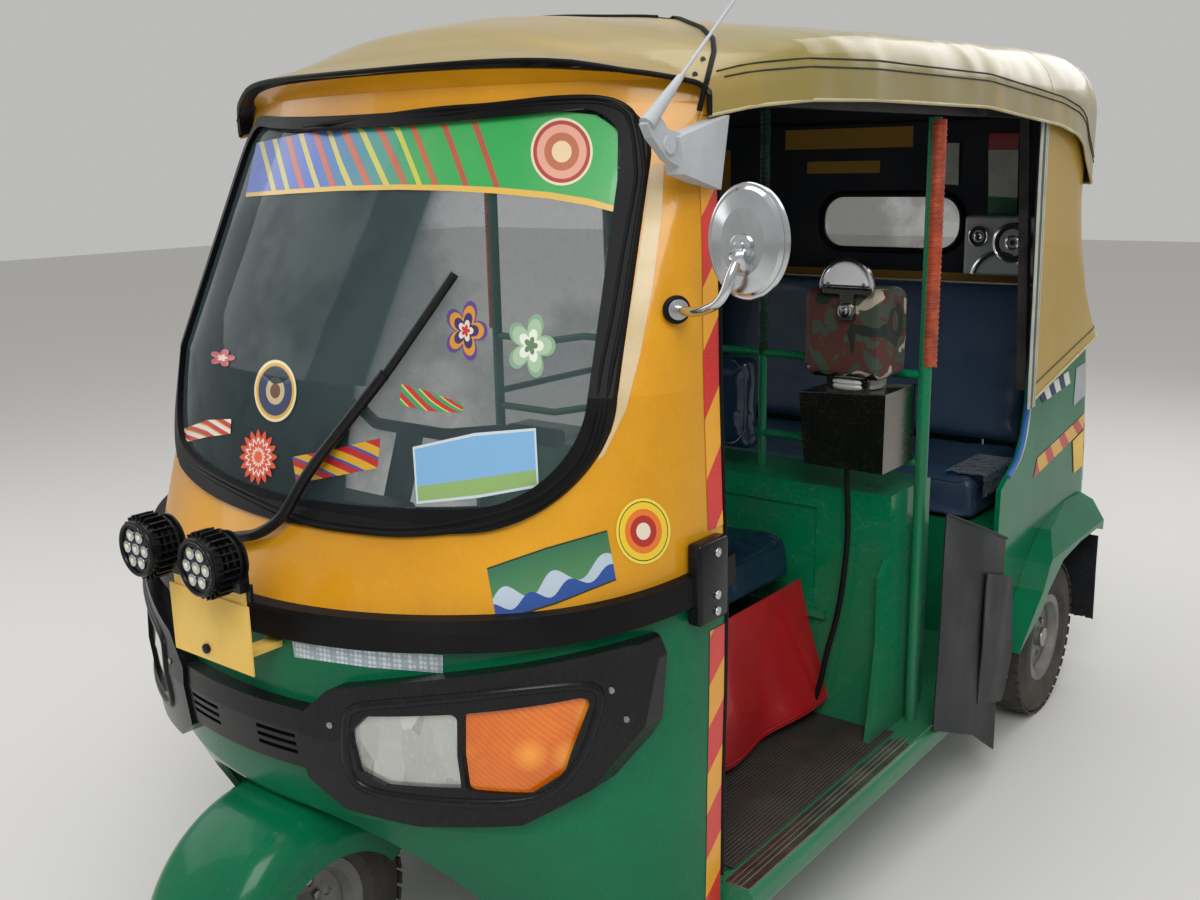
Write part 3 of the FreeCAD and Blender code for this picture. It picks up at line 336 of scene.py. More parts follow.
def newGroup(name, inputs, outputs):
    tree = bpy.data.node_groups.new(name, "ShaderNodeTree")
    kinds = {"value": "NodeSocketFloat", "color": "NodeSocketColor", "vector": "NodeSocketVector"}
    for label, kind, start in inputs:
        socket = tree.interface.new_socket(name=label, in_out="INPUT", socket_type=kinds[kind])
        if start is not None:
            socket.default_value = start
    for label, kind in outputs:
        tree.interface.new_socket(name=label, in_out="OUTPUT", socket_type=kinds[kind])
    return tree, tree.nodes.new("NodeGroupInput").outputs, tree.nodes.new("NodeGroupOutput")


def placed(tree, group, inputs):
    made = addNode(tree, "ShaderNodeGroup", node_tree=group)
    for key, value in inputs.items():
        made.inputs[key].default_value = value
    return made.outputs


# Shared effects

def makeGrime():
    # dust that gathers low down and in patches: a mask
    tree, given, out = newGroup("grime", [("Amount", "value", 0.5), ("Scale", "value", 6.0), ("Low", "value", 0.1),
                                          ("High", "value", 0.9)], [("Mask", "value")])
    spot = objectPlace(tree)
    height = addNode(tree, "ShaderNodeSeparateXYZ", {0: spot}).outputs["Z"]
    lowness = addNode(tree, "ShaderNodeMapRange", {"Value": height, "From Min": given["High"],
                                                   "From Max": given["Low"]}).outputs["Result"]
    cloud = noiseOn(tree, spot, given["Scale"], 8.0, roughness=0.62)
    patch = spread(tree, cloud, 0.42, 0.72)
    both = calc(tree, "ADD", times(tree, lowness, 0.6), times(tree, patch, 0.55))
    mask = times(tree, both, given["Amount"])
    tree.links.new(addNode(tree, "ShaderNodeClamp", {"Value": mask}).outputs[0], out.inputs["Mask"])
    return tree


def makeScratches():
    # fine crossing scratches: a mask
    tree, given, out = newGroup("scratches", [("Scale", "value", 20.0), ("Amount", "value", 0.5)],
                                [("Mask", "value")])
    spot = objectPlace(tree)
    masks = []
    for turn, stretch in (((0.3, 0.5, 0.6), (1, 14, 2)), ((0.9, -0.4, -0.5), (12, 1, 3))):
        lines = noiseOn(tree, mapped(tree, spot, rotation=turn, scale=stretch), given["Scale"], 3.0)
        masks.append(spread(tree, apart(tree, lines, 0.5), 0.012, 0.0))
    either = calc(tree, "MAXIMUM", *masks)
    tree.links.new(times(tree, either, given["Amount"]), out.inputs["Mask"])
    return tree


def makeGrain():
    # moulded plastic, leather or vinyl grain: a height
    tree, given, out = newGroup("grain", [("Scale", "value", 200.0), ("Soft", "value", 0.5)], [("Height", "value")])
    spot = objectPlace(tree)
    cells = cellsOn(tree, spot, given["Scale"])
    cloud = noiseOn(tree, spot, given["Scale"], 4.0)
    height = addNode(tree, "ShaderNodeMix", {0: given["Soft"], 2: cells, 3: cloud}, data_type="FLOAT").outputs[0]
    tree.links.new(height, out.inputs["Height"])
    return tree


def makeCloud():
    # slow change of colour over a surface: a mask
    tree, given, out = newGroup("cloud", [("Scale", "value", 3.0), ("Sharp", "value", 0.2)], [("Mask", "value")])
    spot = objectPlace(tree)
    clouds = noiseOn(tree, spot, given["Scale"], 6.0, roughness=0.6)
    low = calc(tree, "ADD", times(tree, given["Sharp"], 0.5), 0.25)
    high = calc(tree, "SUBTRACT", 1.0, low)
    made = addNode(tree, "ShaderNodeMapRange", {"Value": clouds, "From Min": low, "From Max": high})
    tree.links.new(made.outputs["Result"], out.inputs["Mask"])
    return tree


effects = {"grime": makeGrime(), "scratches": makeScratches(), "grain": makeGrain(), "cloud": makeCloud()}


def blankMaterial(name):
    material = bpy.data.materials.new(name)
    material.use_nodes = True
    tree = material.node_tree
    return material, tree, tree.nodes["Principled BSDF"]


def surface(name, color, shade=None, roughness=0.4, metallic=0.0, coat=0.0, cloud=3.0, sharp=0.2, dust=None,
            dustColor="b8ac98", dustScale=6.0, scratch=0.0, scratchColor="d8d4cc", scratchScale=20.0, bump=0.0,
            bumpScale=200.0, bumpSoft=0.5, bumpDepth=0.0006, folds=None, sheen=0.0, paint=None, ior=1.4):
    # one finish: base and shade vary in clouds, then a painted pattern, scratches, dust and grain
    material, tree, shader = blankMaterial(name)
    shift = placed(tree, effects["cloud"], {"Scale": cloud, "Sharp": sharp})["Mask"]
    base = mixColor(tree, shift, tint(color), tint(shade or color))
    if paint:
        base = paint(tree, base)
    rough = spread(tree, shift, 0.0, 1.0, roughness * 0.85, min(1.0, roughness * 1.2))
    if scratch:
        lines = placed(tree, effects["scratches"], {"Scale": scratchScale, "Amount": scratch})["Mask"]
        base = mixColor(tree, lines, base, tint(scratchColor))
        rough = calc(tree, "ADD", rough, times(tree, lines, 0.3))
    if dust:
        amount, low, high = dust
        dirt = placed(tree, effects["grime"], {"Amount": amount, "Scale": dustScale, "Low": low,
                                               "High": high})["Mask"]
        base = mixColor(tree, dirt, base, tint(dustColor))
        rough = calc(tree, "ADD", rough, times(tree, dirt, 0.45))
    tree.links.new(base, shader.inputs["Base Color"])
    tree.links.new(rough, shader.inputs["Roughness"])
    shader.inputs["Metallic"].default_value = metallic
    shader.inputs["Coat Weight"].default_value = coat
    shader.inputs["Coat Roughness"].default_value = 0.06
    shader.inputs["Sheen Weight"].default_value = sheen
    shader.inputs["IOR"].default_value = ior
    if bump:
        height = placed(tree, effects["grain"], {"Scale": bumpScale, "Soft": bumpSoft})["Height"]
        relief = addNode(tree, "ShaderNodeBump", {"Strength": bump, "Distance": bumpDepth, "Height": height})
        if folds:
            # wide soft creases of stretched cloth
            drawn = mapped(tree, objectPlace(tree), scale=(0.8, 2.0, 1.2))
            creases = noiseOn(tree, drawn, folds[0], 1.0, distortion=0.25)
            wide = addNode(tree, "ShaderNodeBump", {"Strength": 1.0, "Distance": folds[1], "Height": creases})
            tree.links.new(wide.outputs[0], relief.inputs["Normal"])
        tree.links.new(relief.outputs[0], shader.inputs["Normal"])
    return material


finishes = {
    "goldPaint": surface("gold paint", "dc9c1a", "ca8a10", 0.22, coat=0.25, ior=1.33, dust=(0.05, 0.4, 1.3),
                         dustColor="b9a070", scratch=0.08, scratchColor="e9c982", scratchScale=9.0),
    "greenPaint": surface("green paint", "006f48", "00603e", 0.2, coat=0.15, ior=1.25, dust=(0.05, 0.15, 0.7),
                          dustColor="5f7a66", scratch=0.08, scratchColor="5f9c80", scratchScale=10.0),
    "cabinGreen": surface("cabin green paint", "00764b", "006240", 0.28, coat=0.3, ior=1.3, dust=(0.12, 0.25, 0.6),
                          dustColor="8a9482", scratch=0.14, scratchColor="6fa98d", scratchScale=14.0),
    "blackPaint": surface("black paint", "1b1b1c", "262627", 0.42, dust=(0.5, 0.1, 0.8), dustColor="85796a",
                          scratch=0.1, scratchColor="6a645c"),
    "rubber": surface("black rubber", "0a0b0c", "111215", 0.42, ior=1.22, dust=(0.05, 0.2, 1.2), dustColor="55514b",
                      bump=0.25, bumpScale=260.0),
    "flapRubber": surface("flap rubber", "12151a", "191d23", 0.45, ior=1.3, cloud=6.0, dust=(0.12, 0.05, 0.6),
                          dustColor="57534d", scratch=0.2, scratchColor="55524d", bump=0.4, bumpScale=180.0),
    "blackPlastic": surface("black plastic", "0a0b0d", "131417", 0.25, ior=1.32, dust=(0.04, 0.3, 1.0),
                            dustColor="5c5952", scratch=0.12, scratchColor="4a4a4e", scratchScale=12.0, bump=0.22,
                            bumpScale=420.0),
    "canopyVinyl": surface("canopy vinyl", "a38f3e", "b3a157", 0.36, cloud=2.6, sharp=0.5, coat=0.25,
                           dust=(0.35, 1.2, 1.9), dustColor="b9ae8a", dustScale=3.2, bump=0.3, bumpScale=150.0,
                           bumpDepth=0.001, sheen=0.1),
    "curtainVinyl": surface("curtain vinyl", "b8942b", "ab8826", 0.34, cloud=3.0, coat=0.3, dust=(0.25, 0.8, 1.5),
                            dustColor="d8cd9c", bump=0.25, bumpScale=160.0, bumpDepth=0.0008),
    "seatBlue": surface("seat vinyl", "263f5a", "1d3551", 0.42, cloud=5.0, coat=0.12, dust=(0.2, 0.3, 1.0),
                        dustColor="69737c", scratch=0.08, scratchColor="53677c", bump=0.55, bumpScale=110.0,
                        bumpSoft=0.3, bumpDepth=0.0012),
    "driverBlue": surface("driver seat vinyl", "12283c", "0d2032", 0.3, cloud=5.0, coat=0.3, bump=0.2,
                          bumpScale=140.0),
    "redVinyl": surface("red vinyl", "b0101c", "960c17", 0.33, cloud=4.0, coat=0.25, dust=(0.08, 0.25, 0.5),
                        dustColor="7c5c54", bump=0.3, bumpScale=160.0),
    "chrome": surface("chrome", "d9dcdf", "c3c7cb", 0.13, metallic=1.0, cloud=14.0, scratch=0.2,
                      scratchColor="a9a9a6", scratchScale=30.0, dust=(0.12, 0.2, 2.5), dustColor="a69c8a",
                      dustScale=14.0),
    "wornSteel": surface("worn steel", "8b8780", "a9a49b", 0.26, metallic=0.95, cloud=16.0, scratch=0.35,
                         scratchColor="5e5851", scratchScale=26.0, dust=(0.16, 0.1, 1.2), dustColor="5a4c3c"),
    "boxSteel": surface("stainless sheet", "7d7974", "625c58", 0.2, metallic=1.0, cloud=5.0, sharp=0.5,
                        scratch=0.25, scratchColor="c9c7bf", dust=(0.2, 0.7, 1.4), dustColor="8d8678"),
    "tyreRubber": surface("tyre rubber", "17181a", "222325", 0.7, cloud=8.0, dust=(0.5, 0.0, 0.5),
                          dustColor="6f675c", dustScale=14.0, bump=0.4, bumpScale=300.0),
    "rimPaint": surface("rim paint", "8f9292", "7b7e7e", 0.4, metallic=0.5, cloud=12.0, dust=(0.55, 0.0, 0.5),
                        dustColor="74695a", dustScale=18.0, scratch=0.3, scratchColor="4e4a44"),
    "castMetal": surface("cast metal", "5c5c5b", "494947", 0.55, metallic=0.5, cloud=9.0, dust=(0.6, 0.0, 0.7),
                         dustColor="5d5243", bump=0.5, bumpScale=120.0),
    "greyPlastic": surface("grey plastic", "bfc3c7", "aeb3b8", 0.45, cloud=6.0, dust=(0.3, 0.5, 2.0),
                           dustColor="8f8b82", scratch=0.15, scratchColor="8d8d8c"),
    "silverPlastic": surface("silver plastic", "b4b6b8", "a2a5a8", 0.32, metallic=0.35, cloud=6.0,
                             dust=(0.12, 0.5, 2.0), dustColor="8f8b82", scratch=0.2, scratchColor="7d7d7c"),
    "coneBlack": surface("speaker cone", "1c1d1f", "26272a", 0.5, cloud=12.0, dust=(0.2, 0.5, 1.8),
                         dustColor="6b6760"),
    "redLens": surface("red lens", "a80d12", "8a0a0e", 0.14, coat=0.9, cloud=9.0, dust=(0.3, 0.3, 0.9),
                       dustColor="8c6a5c"),
    "platePaint": surface("plate yellow", "fad068", "f0c458", 0.4, cloud=9.0, dust=(0.3, 0.3, 1.2),
                          dustColor="a39066"),
    # painted highlight: a pale band for the light caught on the pillar's chamfer
    "chamferHighlight": surface("pillar highlight strip", "d8c39a", "c9b184", 0.4, cloud=10.0, dust=(0.2, 0.6, 1.6)),
    "whiteTrim": surface("white trim", "d5d6d0", "bfc0b8", 0.5, cloud=12.0, dust=(0.35, 0.3, 1.4),
                         dustColor="8d887c", scratch=0.3, scratchColor="7a766c"),
    "blueTrim": surface("blue trim", "1f6bb5", "1a5c9f", 0.35, cloud=10.0, coat=0.3, dust=(0.15, 0.5, 1.0)),
    "stitch": surface("dark stitching", "2a2a26", "3a3a33", 0.8, cloud=30.0),
}
print("finishes", len(finishes))


# Floor, backdrop and lights

studio = {"floor": "d9d8d5", "floorSize": 40, "floorRough": 0.9, "sky": 0.5, "skyTint": (1.0, 0.995, 0.985, 1.0),
          "lampsFace": (0, 0, 0.8)}
deselectAll()
bpy.ops.mesh.primitive_plane_add(size=studio["floorSize"], location=(0, 0, 0))
floor = named("studio_floor")
floorPaint, _, floorShader = blankMaterial("studio floor")
floorShader.inputs["Base Color"].default_value = tint(studio["floor"])
floorShader.inputs["Roughness"].default_value = studio["floorRough"]
floor.data.materials.append(floorPaint)

world = bpy.data.worlds.new("studio")
bpy.context.scene.world = world
world.use_nodes = True
worldTree = world.node_tree
background = worldTree.nodes["Background"]
background.inputs["Color"].default_value = studio["skyTint"]
background.inputs["Strength"].default_value = studio["sky"]
# name, place, size in metres, power in watts
lamps = [("key_light", (2.4, -3.4, 4.2), 2.4, 128), ("fill_light", (-3.6, -1.8, 3.2), 3.0, 34),
         ("rear_light", (0.8, 4.2, 3.6), 3.0, 55), ("top_light", (0.0, 0.0, 5.0), 3.2, 62)]
for name, place, size, power in lamps:
    deselectAll()
    bpy.ops.object.light_add(type="AREA", location=place)
    lamp = named(name)
    lamp.data.shape = "SQUARE"
    lamp.data.size = size
    lamp.data.energy = power
    lamp.rotation_mode = "QUATERNION"
    lamp.rotation_quaternion = (Vector(studio["lampsFace"]) - Vector(place)).to_track_quat("-Z", "Y")
bpy.context.scene.view_settings.view_transform = "Standard"
print("studio ready")


# CAD nodes that keep their own shape, with their finish
shown = {
    "chassis_frame": "blackPaint", "floor_pan": "cabinGreen", "sill_plates": "wornSteel",
         "cowl_lower": "greenPaint",
    "cowl_upper": "goldPaint", "windscreen_gasket": "rubber", "belt_moulding": "rubber",
    "lamp_surrounds": "blackPlastic", "headlamp_lenses": "lampLens", "front_indicators": "amberLens",
    "bumper_centre": "blackPlastic", "front_plate": "platePaint", "spot_lamps": "blackPlastic",
    "wiper": "blackPlastic", "wheel_housing": "cabinGreen", "dashboard": "blackPlastic", "partition": "cabinGreen",
    "partition_rails": "cabinGreen", "driver_seat_base": "redVinyl", "driver_cushion": "driverBlue",
    "driver_backrest": "driverBlue", "passenger_cushion": "seatBlue", "passenger_backrest": "seatBlue",
    "rear_tub": "greenPaint", "engine_hatch": "greenPaint", "rear_bumper": "blackPlastic", "tail_lamps": "redLens",
    "rear_mud_flaps": "flapRubber", "entrance_flaps": "flapRubber", "canopy": "canopyVinyl",
    "hood_back": "curtainVinyl", "hood_frame": "blackPaint", "mirror": "chrome", "antenna": "greyPlastic",
    "fare_meter": "boxSteel", "speaker": "silverPlastic", "rear_suspension": "blackPaint", "engine": "castMetal",
    "exhaust": "wornSteel", "front_fork": "blackPaint", "front_mudguard": "greenPaint", "front_tyre": "tyreRubber",
    "front_rim": "rimPaint", "left_tyre": "tyreRubber", "left_rim": "rimPaint", "right_tyre": "tyreRubber",
    "right_rim": "rimPaint", "windscreen": None, "rear_window": None}


def makeGlass(name, color, alpha, roughness=0.03):
    # clear sheet: mostly see-through, with the gloss of the real one
    material, tree, shader = blankMaterial(name)
    shader.inputs["Base Color"].default_value = tint(color)
    shader.inputs["Roughness"].default_value = roughness
    streaks = placed(tree, effects["cloud"], {"Scale": 2.5, "Sharp": 0.4})["Mask"]
    marks = placed(tree, effects["scratches"], {"Scale": 12.0, "Amount": 0.25})["Mask"]
    # how much of the sheet's tint shows, from streaks and scratches; on the windscreen the dark tint is painted
    # shade
    hazeAndShade = calc(tree, "ADD", spread(tree, streaks, 0.0, 1.0, alpha * 0.6, alpha * 1.3),
                times(tree, marks, 0.3))
    gloss = addNode(tree, "ShaderNodeFresnel", {"IOR": 1.5}).outputs[0]
    tree.links.new(calc(tree, "ADD", hazeAndShade, gloss), shader.inputs["Alpha"])
    return material


def lensReflectionPaint(tree, base):
    # painted reflection: the folded reflector behind the lens, painted as pale and dark facets
    turned = mapped(tree, objectPlace(tree), rotation=(0.2, 0.5, 0.3), scale=(1.0, 1.0, 0.3))
    cells = cellsOn(tree, turned, 26.0, 0.7, "Color")
    share = addNode(tree, "ShaderNodeSeparateXYZ", {0: cells}).outputs["X"]
    return mixColor(tree, times(tree, share, 0.7), base, tint("e8e9e6"))


def amberPaint(tree, base):
    # fine slanting flutes, and a brighter bowl behind them that is a painted reflection of the reflector
    spot = objectPlace(tree)
    turned = mapped(tree, spot, rotation=(0.0, 0.7, 0.0))
    flutes = addNode(tree, "ShaderNodeTexWave", {"Vector": turned, "Scale": 46.0, "Distortion": 1.0}).outputs["Fac"]
    # painted reflection: the bright bowl behind the flutes
    bowlReflection = cellsOn(tree, spot, 15.0, 0.8)
    fluted = mixColor(tree, times(tree, flutes, 0.35), base, tint("b84a02"))
    return mixColor(tree, spread(tree, bowlReflection, 0.45, 0.1, 0.0, 0.75), fluted, tint("ffa63a"))


finishes["amberLens"] = surface("amber lens", "ee7d0c", "d56204", 0.1, coat=0.8, cloud=6.0, paint=amberPaint)
# headlamp lens: grey ground with the painted reflection of its reflector
finishes["lampLens"] = surface("lamp lens", "7f827f", "8d908d", 0.14, metallic=0.4, coat=1.0, cloud=4.0, sharp=0.1,
                               paint=lensReflectionPaint, scratch=0.3, scratchColor="dfe1df", scratchScale=12.0,
                               dust=(0.1, 0.4, 0.9))
# painted shade: the windscreen is tinted dark grey-green and partly opaque, for the shaded cab seen through it
finishes["glass"] = makeGlass("windscreen glass", "46575a", 0.3)
finishes["clearSheet"] = makeGlass("clear sheet", "c9c9bf", 0.34, 0.22)
shown["windscreen"] = "glass"
shown["rear_window"] = "clearSheet"
for name, finish in shown.items():
    node = nodes[name]
    node.data.materials.clear()
    node.data.materials.append(finishes[finish])
meterCable.data.materials.append(finishes["rubber"])
print("nodes dressed", len(shown))


# Places are written in the vehicle's own millimetres, x from its middle plane

def at(x, y, z):
    return Vector((x / 1000 + middleX, y / 1000, z / 1000))


def between(low, high, share):
    return low + (high - low) * share


def rowAt(table, level):
    # the row of a table, read between its lines at this value of its first column
    for before, after in zip(table, table[1:]):
        if level <= after[0]:
            share = max(0.0, (level - before[0]) / (after[0] - before[0]))
            return [between(first, second, share) for first, second in zip(before, after)]
    return list(table[-1])


def archPoint(half, rise, side, radius, share):
    # a point of an arch outline: share 0 is its left foot, 0.5 its crown, 1 its right foot
    depth = radius - (rise - side)
    corner = (radius ** 2 - depth ** 2 - half ** 2) / (2 * (radius - half))
    cornerU = half - corner
    lean = math.atan2(cornerU, depth)
    sign, t = (-1, share) if share <= 0.5 else (1, 1 - share)
    if t < 0.08:
        return sign * half, side * t / 0.08
    if t < 0.24:
        turn = (math.pi / 2) - (math.pi / 2 - lean) * (t - 0.08) / 0.16
        return sign * (cornerU + corner * math.sin(turn)), side + corner * math.cos(turn)
    turn = lean * (0.5 - t) / 0.26
    return sign * radius * math.sin(turn), side - depth + radius * math.cos(turn)


def ripple(x, y, z, scale, seed=0.0):
    return noise.noise(Vector((x * scale + seed, y * scale, z * scale)))


def onPiece(piece, origin, direction, gap=0.001):
    found, spot, normal, _ = piece.ray_cast(Vector(origin), Vector(direction).normalized())
    return spot + normal * gap if found else None


# Canopy: one sheet over the bows, taut on them and a little slack between them
# roof rows: y, half width, eave, crown, height of the sides, their corner radius and the crown's radius
canopy = {"columns": 96, "rows": 130, "sheet": 0.004, "front": -600.0, "rear": 1220, "sag": 7.0, "ripple": 2.2,
          "crease": 1.6, "edge": (932.0, 100.0), "bows": (-439, 120, 640, 935), "bend": 1000.0, "bendRun": 0.75,
          "closeRun": 0.96, "foot": 1385, "thick": 4, "slackReach": 190, "creaseReach": 120}
roofRows = [(-860, 500, 1500, 1594, 40, 3000), (-720, 545, 1512, 1657, 30, 1500), (-650, 560, 1522, 1690, 25, 1300),
            (-560, 590, 1538, 1708, 25, 1700), (-440, 620, 1548, 1712, 35, 2400), (-250, 638, 1552, 1716, 45, 3200),
            (250, 640, 1552, 1727, 45, 3400), (700, 640, 1522, 1740, 50, 3000), (821, 639, 1504, 1740, 65, 3000),
            (884, 637, 1486, 1740, 81, 3000), (925, 634, 1443, 1740, 121, 3000), (1000, 628, 1385, 1738, 166, 3000),
            (1080, 592, 1385, 1735, 165, 3000), (1150, 530, 1385, 1722, 170, 3000),
            (1190, 468, 1385, 1700, 165, 3000), (1212, 396, 1385, 1660, 151, 3000),
            (1220, 336, 1385, 1625, 140, 3000)]


def roofPoint(share, y, out=0.0):
    _, half, eave, crown, side, radius = rowAt(roofRows, y)
    u, w = archPoint(half + out, crown - eave + out, side, radius + out, share)
    return u, eave + w


def roofEdge(x):
    radius, centre = canopy["edge"]
    return centre - math.sqrt(radius ** 2 - min(abs(x), 700) ** 2)


def roofPlace(share, run, out=0.0):
    # the run goes from the bowed front edge over the bend to the rear, and its last part closes the end
    front = canopy["front"]
    for _ in range(4):
        front = roofEdge(roofPoint(share, front)[0])
    bend, close = canopy["bendRun"], canopy["closeRun"]
    if run < bend:
        y = between(front, canopy["bend"], run / bend)
    else:
        y = between(canopy["bend"], canopy["rear"], min(1.0, (run - bend) / (close - bend)) ** 0.8)
    u, z = roofPoint(share, y, out)
    if run > close:
        left = 1 - (run - close) / (1 - close)
        u, z, y = u * left, between(canopy["foot"], z, left), y + canopy["thick"] * (1 - left)
    return u, y, z


def canopyPlace(u, v):
    x, y, z = roofPlace(u, v)
    top = max(0.0, 1 - abs(u - 0.5) / 0.34)
    nearest = min(abs(y - bow) for bow in canopy["bows"])
    slack = -canopy["sag"] * top * min(1.0, nearest / canopy["slackReach"]) ** 1.4
    folds = canopy["ripple"] * ripple(x / 1000, y / 1000, z / 1000, 7.0)
    tight = max(0.0, 1 - nearest / canopy["creaseReach"])
    creases = canopy["crease"] * ripple(x / 260, y / 60, z / 260, 1.0, 4.0) * tight
    push = (slack + folds + creases) * (1.0 if v > 0.02 else 0.3)
    inward = Vector((x * 0.5, 0, z - 1200)).normalized()
    return at(x, y, z) + inward * (push - 1.0) / 1000


cover = gridSheet("canopy_cover", canopy["columns"], canopy["rows"], canopyPlace)
thickened(cover, canopy["sheet"])
print("canopy", len(cover.data.polygons))


def boxMask(tree, boxes):
    # where the object's place lies in one of the boxes, given in the vehicle's millimetres
    spot = addNode(tree, "ShaderNodeSeparateXYZ", {0: objectPlace(tree)}).outputs
    inside = None
    for box in boxes:
        share = None
        for axis, (low, high) in enumerate(zip(box[::2], box[1::2])):
            shift = middleX if axis == 0 else 0.0
            middle, half = (low + high) / 2000 + shift, (high - low) / 2000
            off = apart(tree, spot[axis], middle)
            near = calc(tree, "LESS_THAN", off, half)
            share = near if share is None else times(tree, share, near)
        inside = share if inside is None else calc(tree, "MAXIMUM", inside, share)
    return inside


def liningPaint(tree, base):
    # the black lining leaves the yellow cloth open in these fields
    fields = [(-560, 430, 1100, 1260, 1080, 1132), (-276, -40, 1100, 1260, 1415, 1450),
              (-350, 60, 1100, 1260, 1487, 1545), (-640, -512, 900, 1260, 1112, 1490),
              (-640, -560, 260, 860, 1000, 1500)]
    return mixColor(tree, boxMask(tree, fields), base, tint("a97f2b"))


def canopyPaint(tree, base):
    # worn streaks let the gold ground through, the top is lighter with painted sheen, and the front band is of
    # newer cloth
    spot = objectPlace(tree)
    cloud = noiseOn(tree, mapped(tree, spot, scale=(1.0, 3.2, 1.0)), 2.2, 5.0, distortion=0.6)
    streaked = mixColor(tree, times(tree, spread(tree, cloud, 0.56, 0.68), 0.75), base, tint("c2922a"))
    height = addNode(tree, "ShaderNodeSeparateXYZ", {0: spot}).outputs
    # painted sheen: the top of the roof is mixed towards pale khaki
    topSheen = times(tree, spread(tree, height["Z"], 1.62, 1.73), 0.35)
    pale = mixColor(tree, topSheen, streaked, tint("a39a70"))
    front = spread(tree, height["Y"], -0.50, -0.56)
    return mixColor(tree, times(tree, front, 0.6), pale, tint("9a7f35"))


finishes["canopyCloth"] = surface("canopy cloth", "84752f", "95853d", 0.3, cloud=2.6, sharp=0.5, coat=0.35,
                                  folds=(2.4, 0.05), dust=(0.2, 1.3, 2.0), dustColor="b9ae8a", dustScale=3.2,
                                  bump=0.3, bumpScale=150.0, bumpDepth=0.001, sheen=0.1, paint=canopyPaint)
finishes["liningCloth"] = surface("hood lining", "10141d", "181d28", 0.62, cloud=5.0, bump=0.4, bumpScale=240.0,
                                  dust=(0.1, 0.5, 1.6), dustColor="5b5d60", paint=liningPaint)
finishes["hem"] = surface("pale hem", "c6bb92", "b5a97c", 0.5, cloud=14.0, bump=0.3, bumpScale=200.0)


def dressSheet(piece, outside, inside):
    # the side that faces the middle of the cabin gets the inner finish
    dress(piece, outside, angle=50)
    piece.data.materials.append(finishes[inside])
    for face in piece.data.polygons:
        inwards = at(0, 300, 1250) - face.center
        face.material_index = 1 if face.normal.dot(inwards.normalized()) > 0.08 else 0


dressSheet(cover, "canopyCloth", "liningCloth")
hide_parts("canopy")

# Hems, piping and stitching of the canopy
edgeRuns = [index / 60 * 0.955 for index in range(61)]
trims = {"hem": 0.0034, "piping": 0.0042, "seamTop": 0.8, "stitch": 0.0015, "bow": 0.0042,
         "rows": {"upper": 62, "lower": 49}}


def shareUp(run, height):
    # the share of the arch at which its outline has climbed this far from its left hem, in millimetres
    last, climbed = roofPlace(0.0, run), 0.0
    for step in range(1, 120):
        spot = roofPlace(step / 400, run)
        stride = math.dist(last, spot)
        if climbed + stride >= height:
            return (step - 1 + (height - climbed) / stride) / 400
        last, climbed = spot, climbed + stride
    return 0.3


def onCover(share, run, gap):
    # the place on the cover's outer side
    outer, inner = at(*roofPlace(share, run, 70)), at(*roofPlace(share, run))
    return onPiece(cover, outer, inner - outer, gap) or inner


def coverSeen(px, py, gap):
    # the place on the cover's front part that the photograph shows at this pixel
    spot = onPiece(cover, camera["place"], pixelRay(px, py), gap)
    return spot if spot and spot.y < 0 else seenOn("canopy", px, py, gap)


for side, share in (("left", 1.0), ("right", 0.0)):
    hemPoints = [at(*roofPlace(share, run, 1.0)) for run in edgeRuns]
    beadOn(f"canopy_hem_{side}", hemPoints, trims["hem"], "hem", "canopy_vinyl")
    for label, height in trims["rows"].items():
        stitches = [onCover(abs(share - shareUp(run, height)), run, 0.0006) for run in edgeRuns[1:]]
        beadOn(f"canopy_stitch_{label}_{side}", stitches, trims["stitch"], "stitch", sides=1)
frontEdge = [at(*roofPlace(index / 72, 0.0, 1.5)) for index in range(73)]
beadOn("canopy_front_piping", frontEdge, trims["piping"], "rubber")
seamPixels = [(652, 16), (680, 20), (702, 29), (713, 40), (714, 52), (709, 72), (703, 94), (699, 111)]
seamLine = [[between(low, high, step / 4) for low, high in zip(first, second)]
            for first, second in zip(seamPixels, seamPixels[1:]) for step in range(4)] + [seamPixels[-1]]
seam = [coverSeen(px, py, 0.0015) for px, py in seamLine]
seamLeft = tubeAlong("canopy_seam_left", seam, trims["piping"])
bothSides(seamLeft, "rubber", right="canopy_seam_right")
seamStarts = [Vector((between(seam[0].x, 2 * middleX - seam[0].x, index / 24), seam[0].y,
                      2)) for index in range(25)]
crossing = [spot for spot in (onPiece(cover, start, (0, 0, -1), 0.0015) for start in seamStarts) if spot]
beadOn("canopy_seam_top", crossing, trims["piping"] * trims["seamTop"], "rubber")
bowLines = []
for bow in canopy["bows"][2:]:
    run = canopy["bendRun"] * (bow - canopy["front"]) / (canopy["bend"] - canopy["front"])
    ridge = [at(*roofPlace(0.06 + index / 60 * 0.88, run, 0.8)) for index in range(61)]
    swell = [0.5 + 0.5 * math.sin(index / 60 * math.pi) for index in range(61)]
    bowLines.append(tubeAlong(f"bow_{bow}", ridge, trims["bow"], taper=swell))
ridges = joined("canopy_bow_folds", bowLines)
dressSheet(ridges, "canopyCloth", "canopyCloth")
print("canopy trims done")

# Hood back and side curtains: one sheet round the back, with a window opening
# curtain rows: z, half width, rear, depth of the sides, their corner radius and the rear's radius
curtain = {"columns": 110, "rows": 40, "sheet": 0.003, "foot": 620, "top": 1556}
curtainRows = [(880, 624, 1224, 523, 5000), (985, 624, 1220, 519, 5000), (1115, 624, 1209, 383, 5000),
               (1247, 624, 1208, 320, 5000), (1350, 622, 1210, 300, 5000), (1560, 622, 1210, 298, 5000)]
curtainHem = [(600, 870), (738, 900), (1164, 985.3), (1300, 985.3)]


def curtainFront(z):
    # the front edge of the curtain leans a little
    return between(645, 622, (z - 800) / 800)


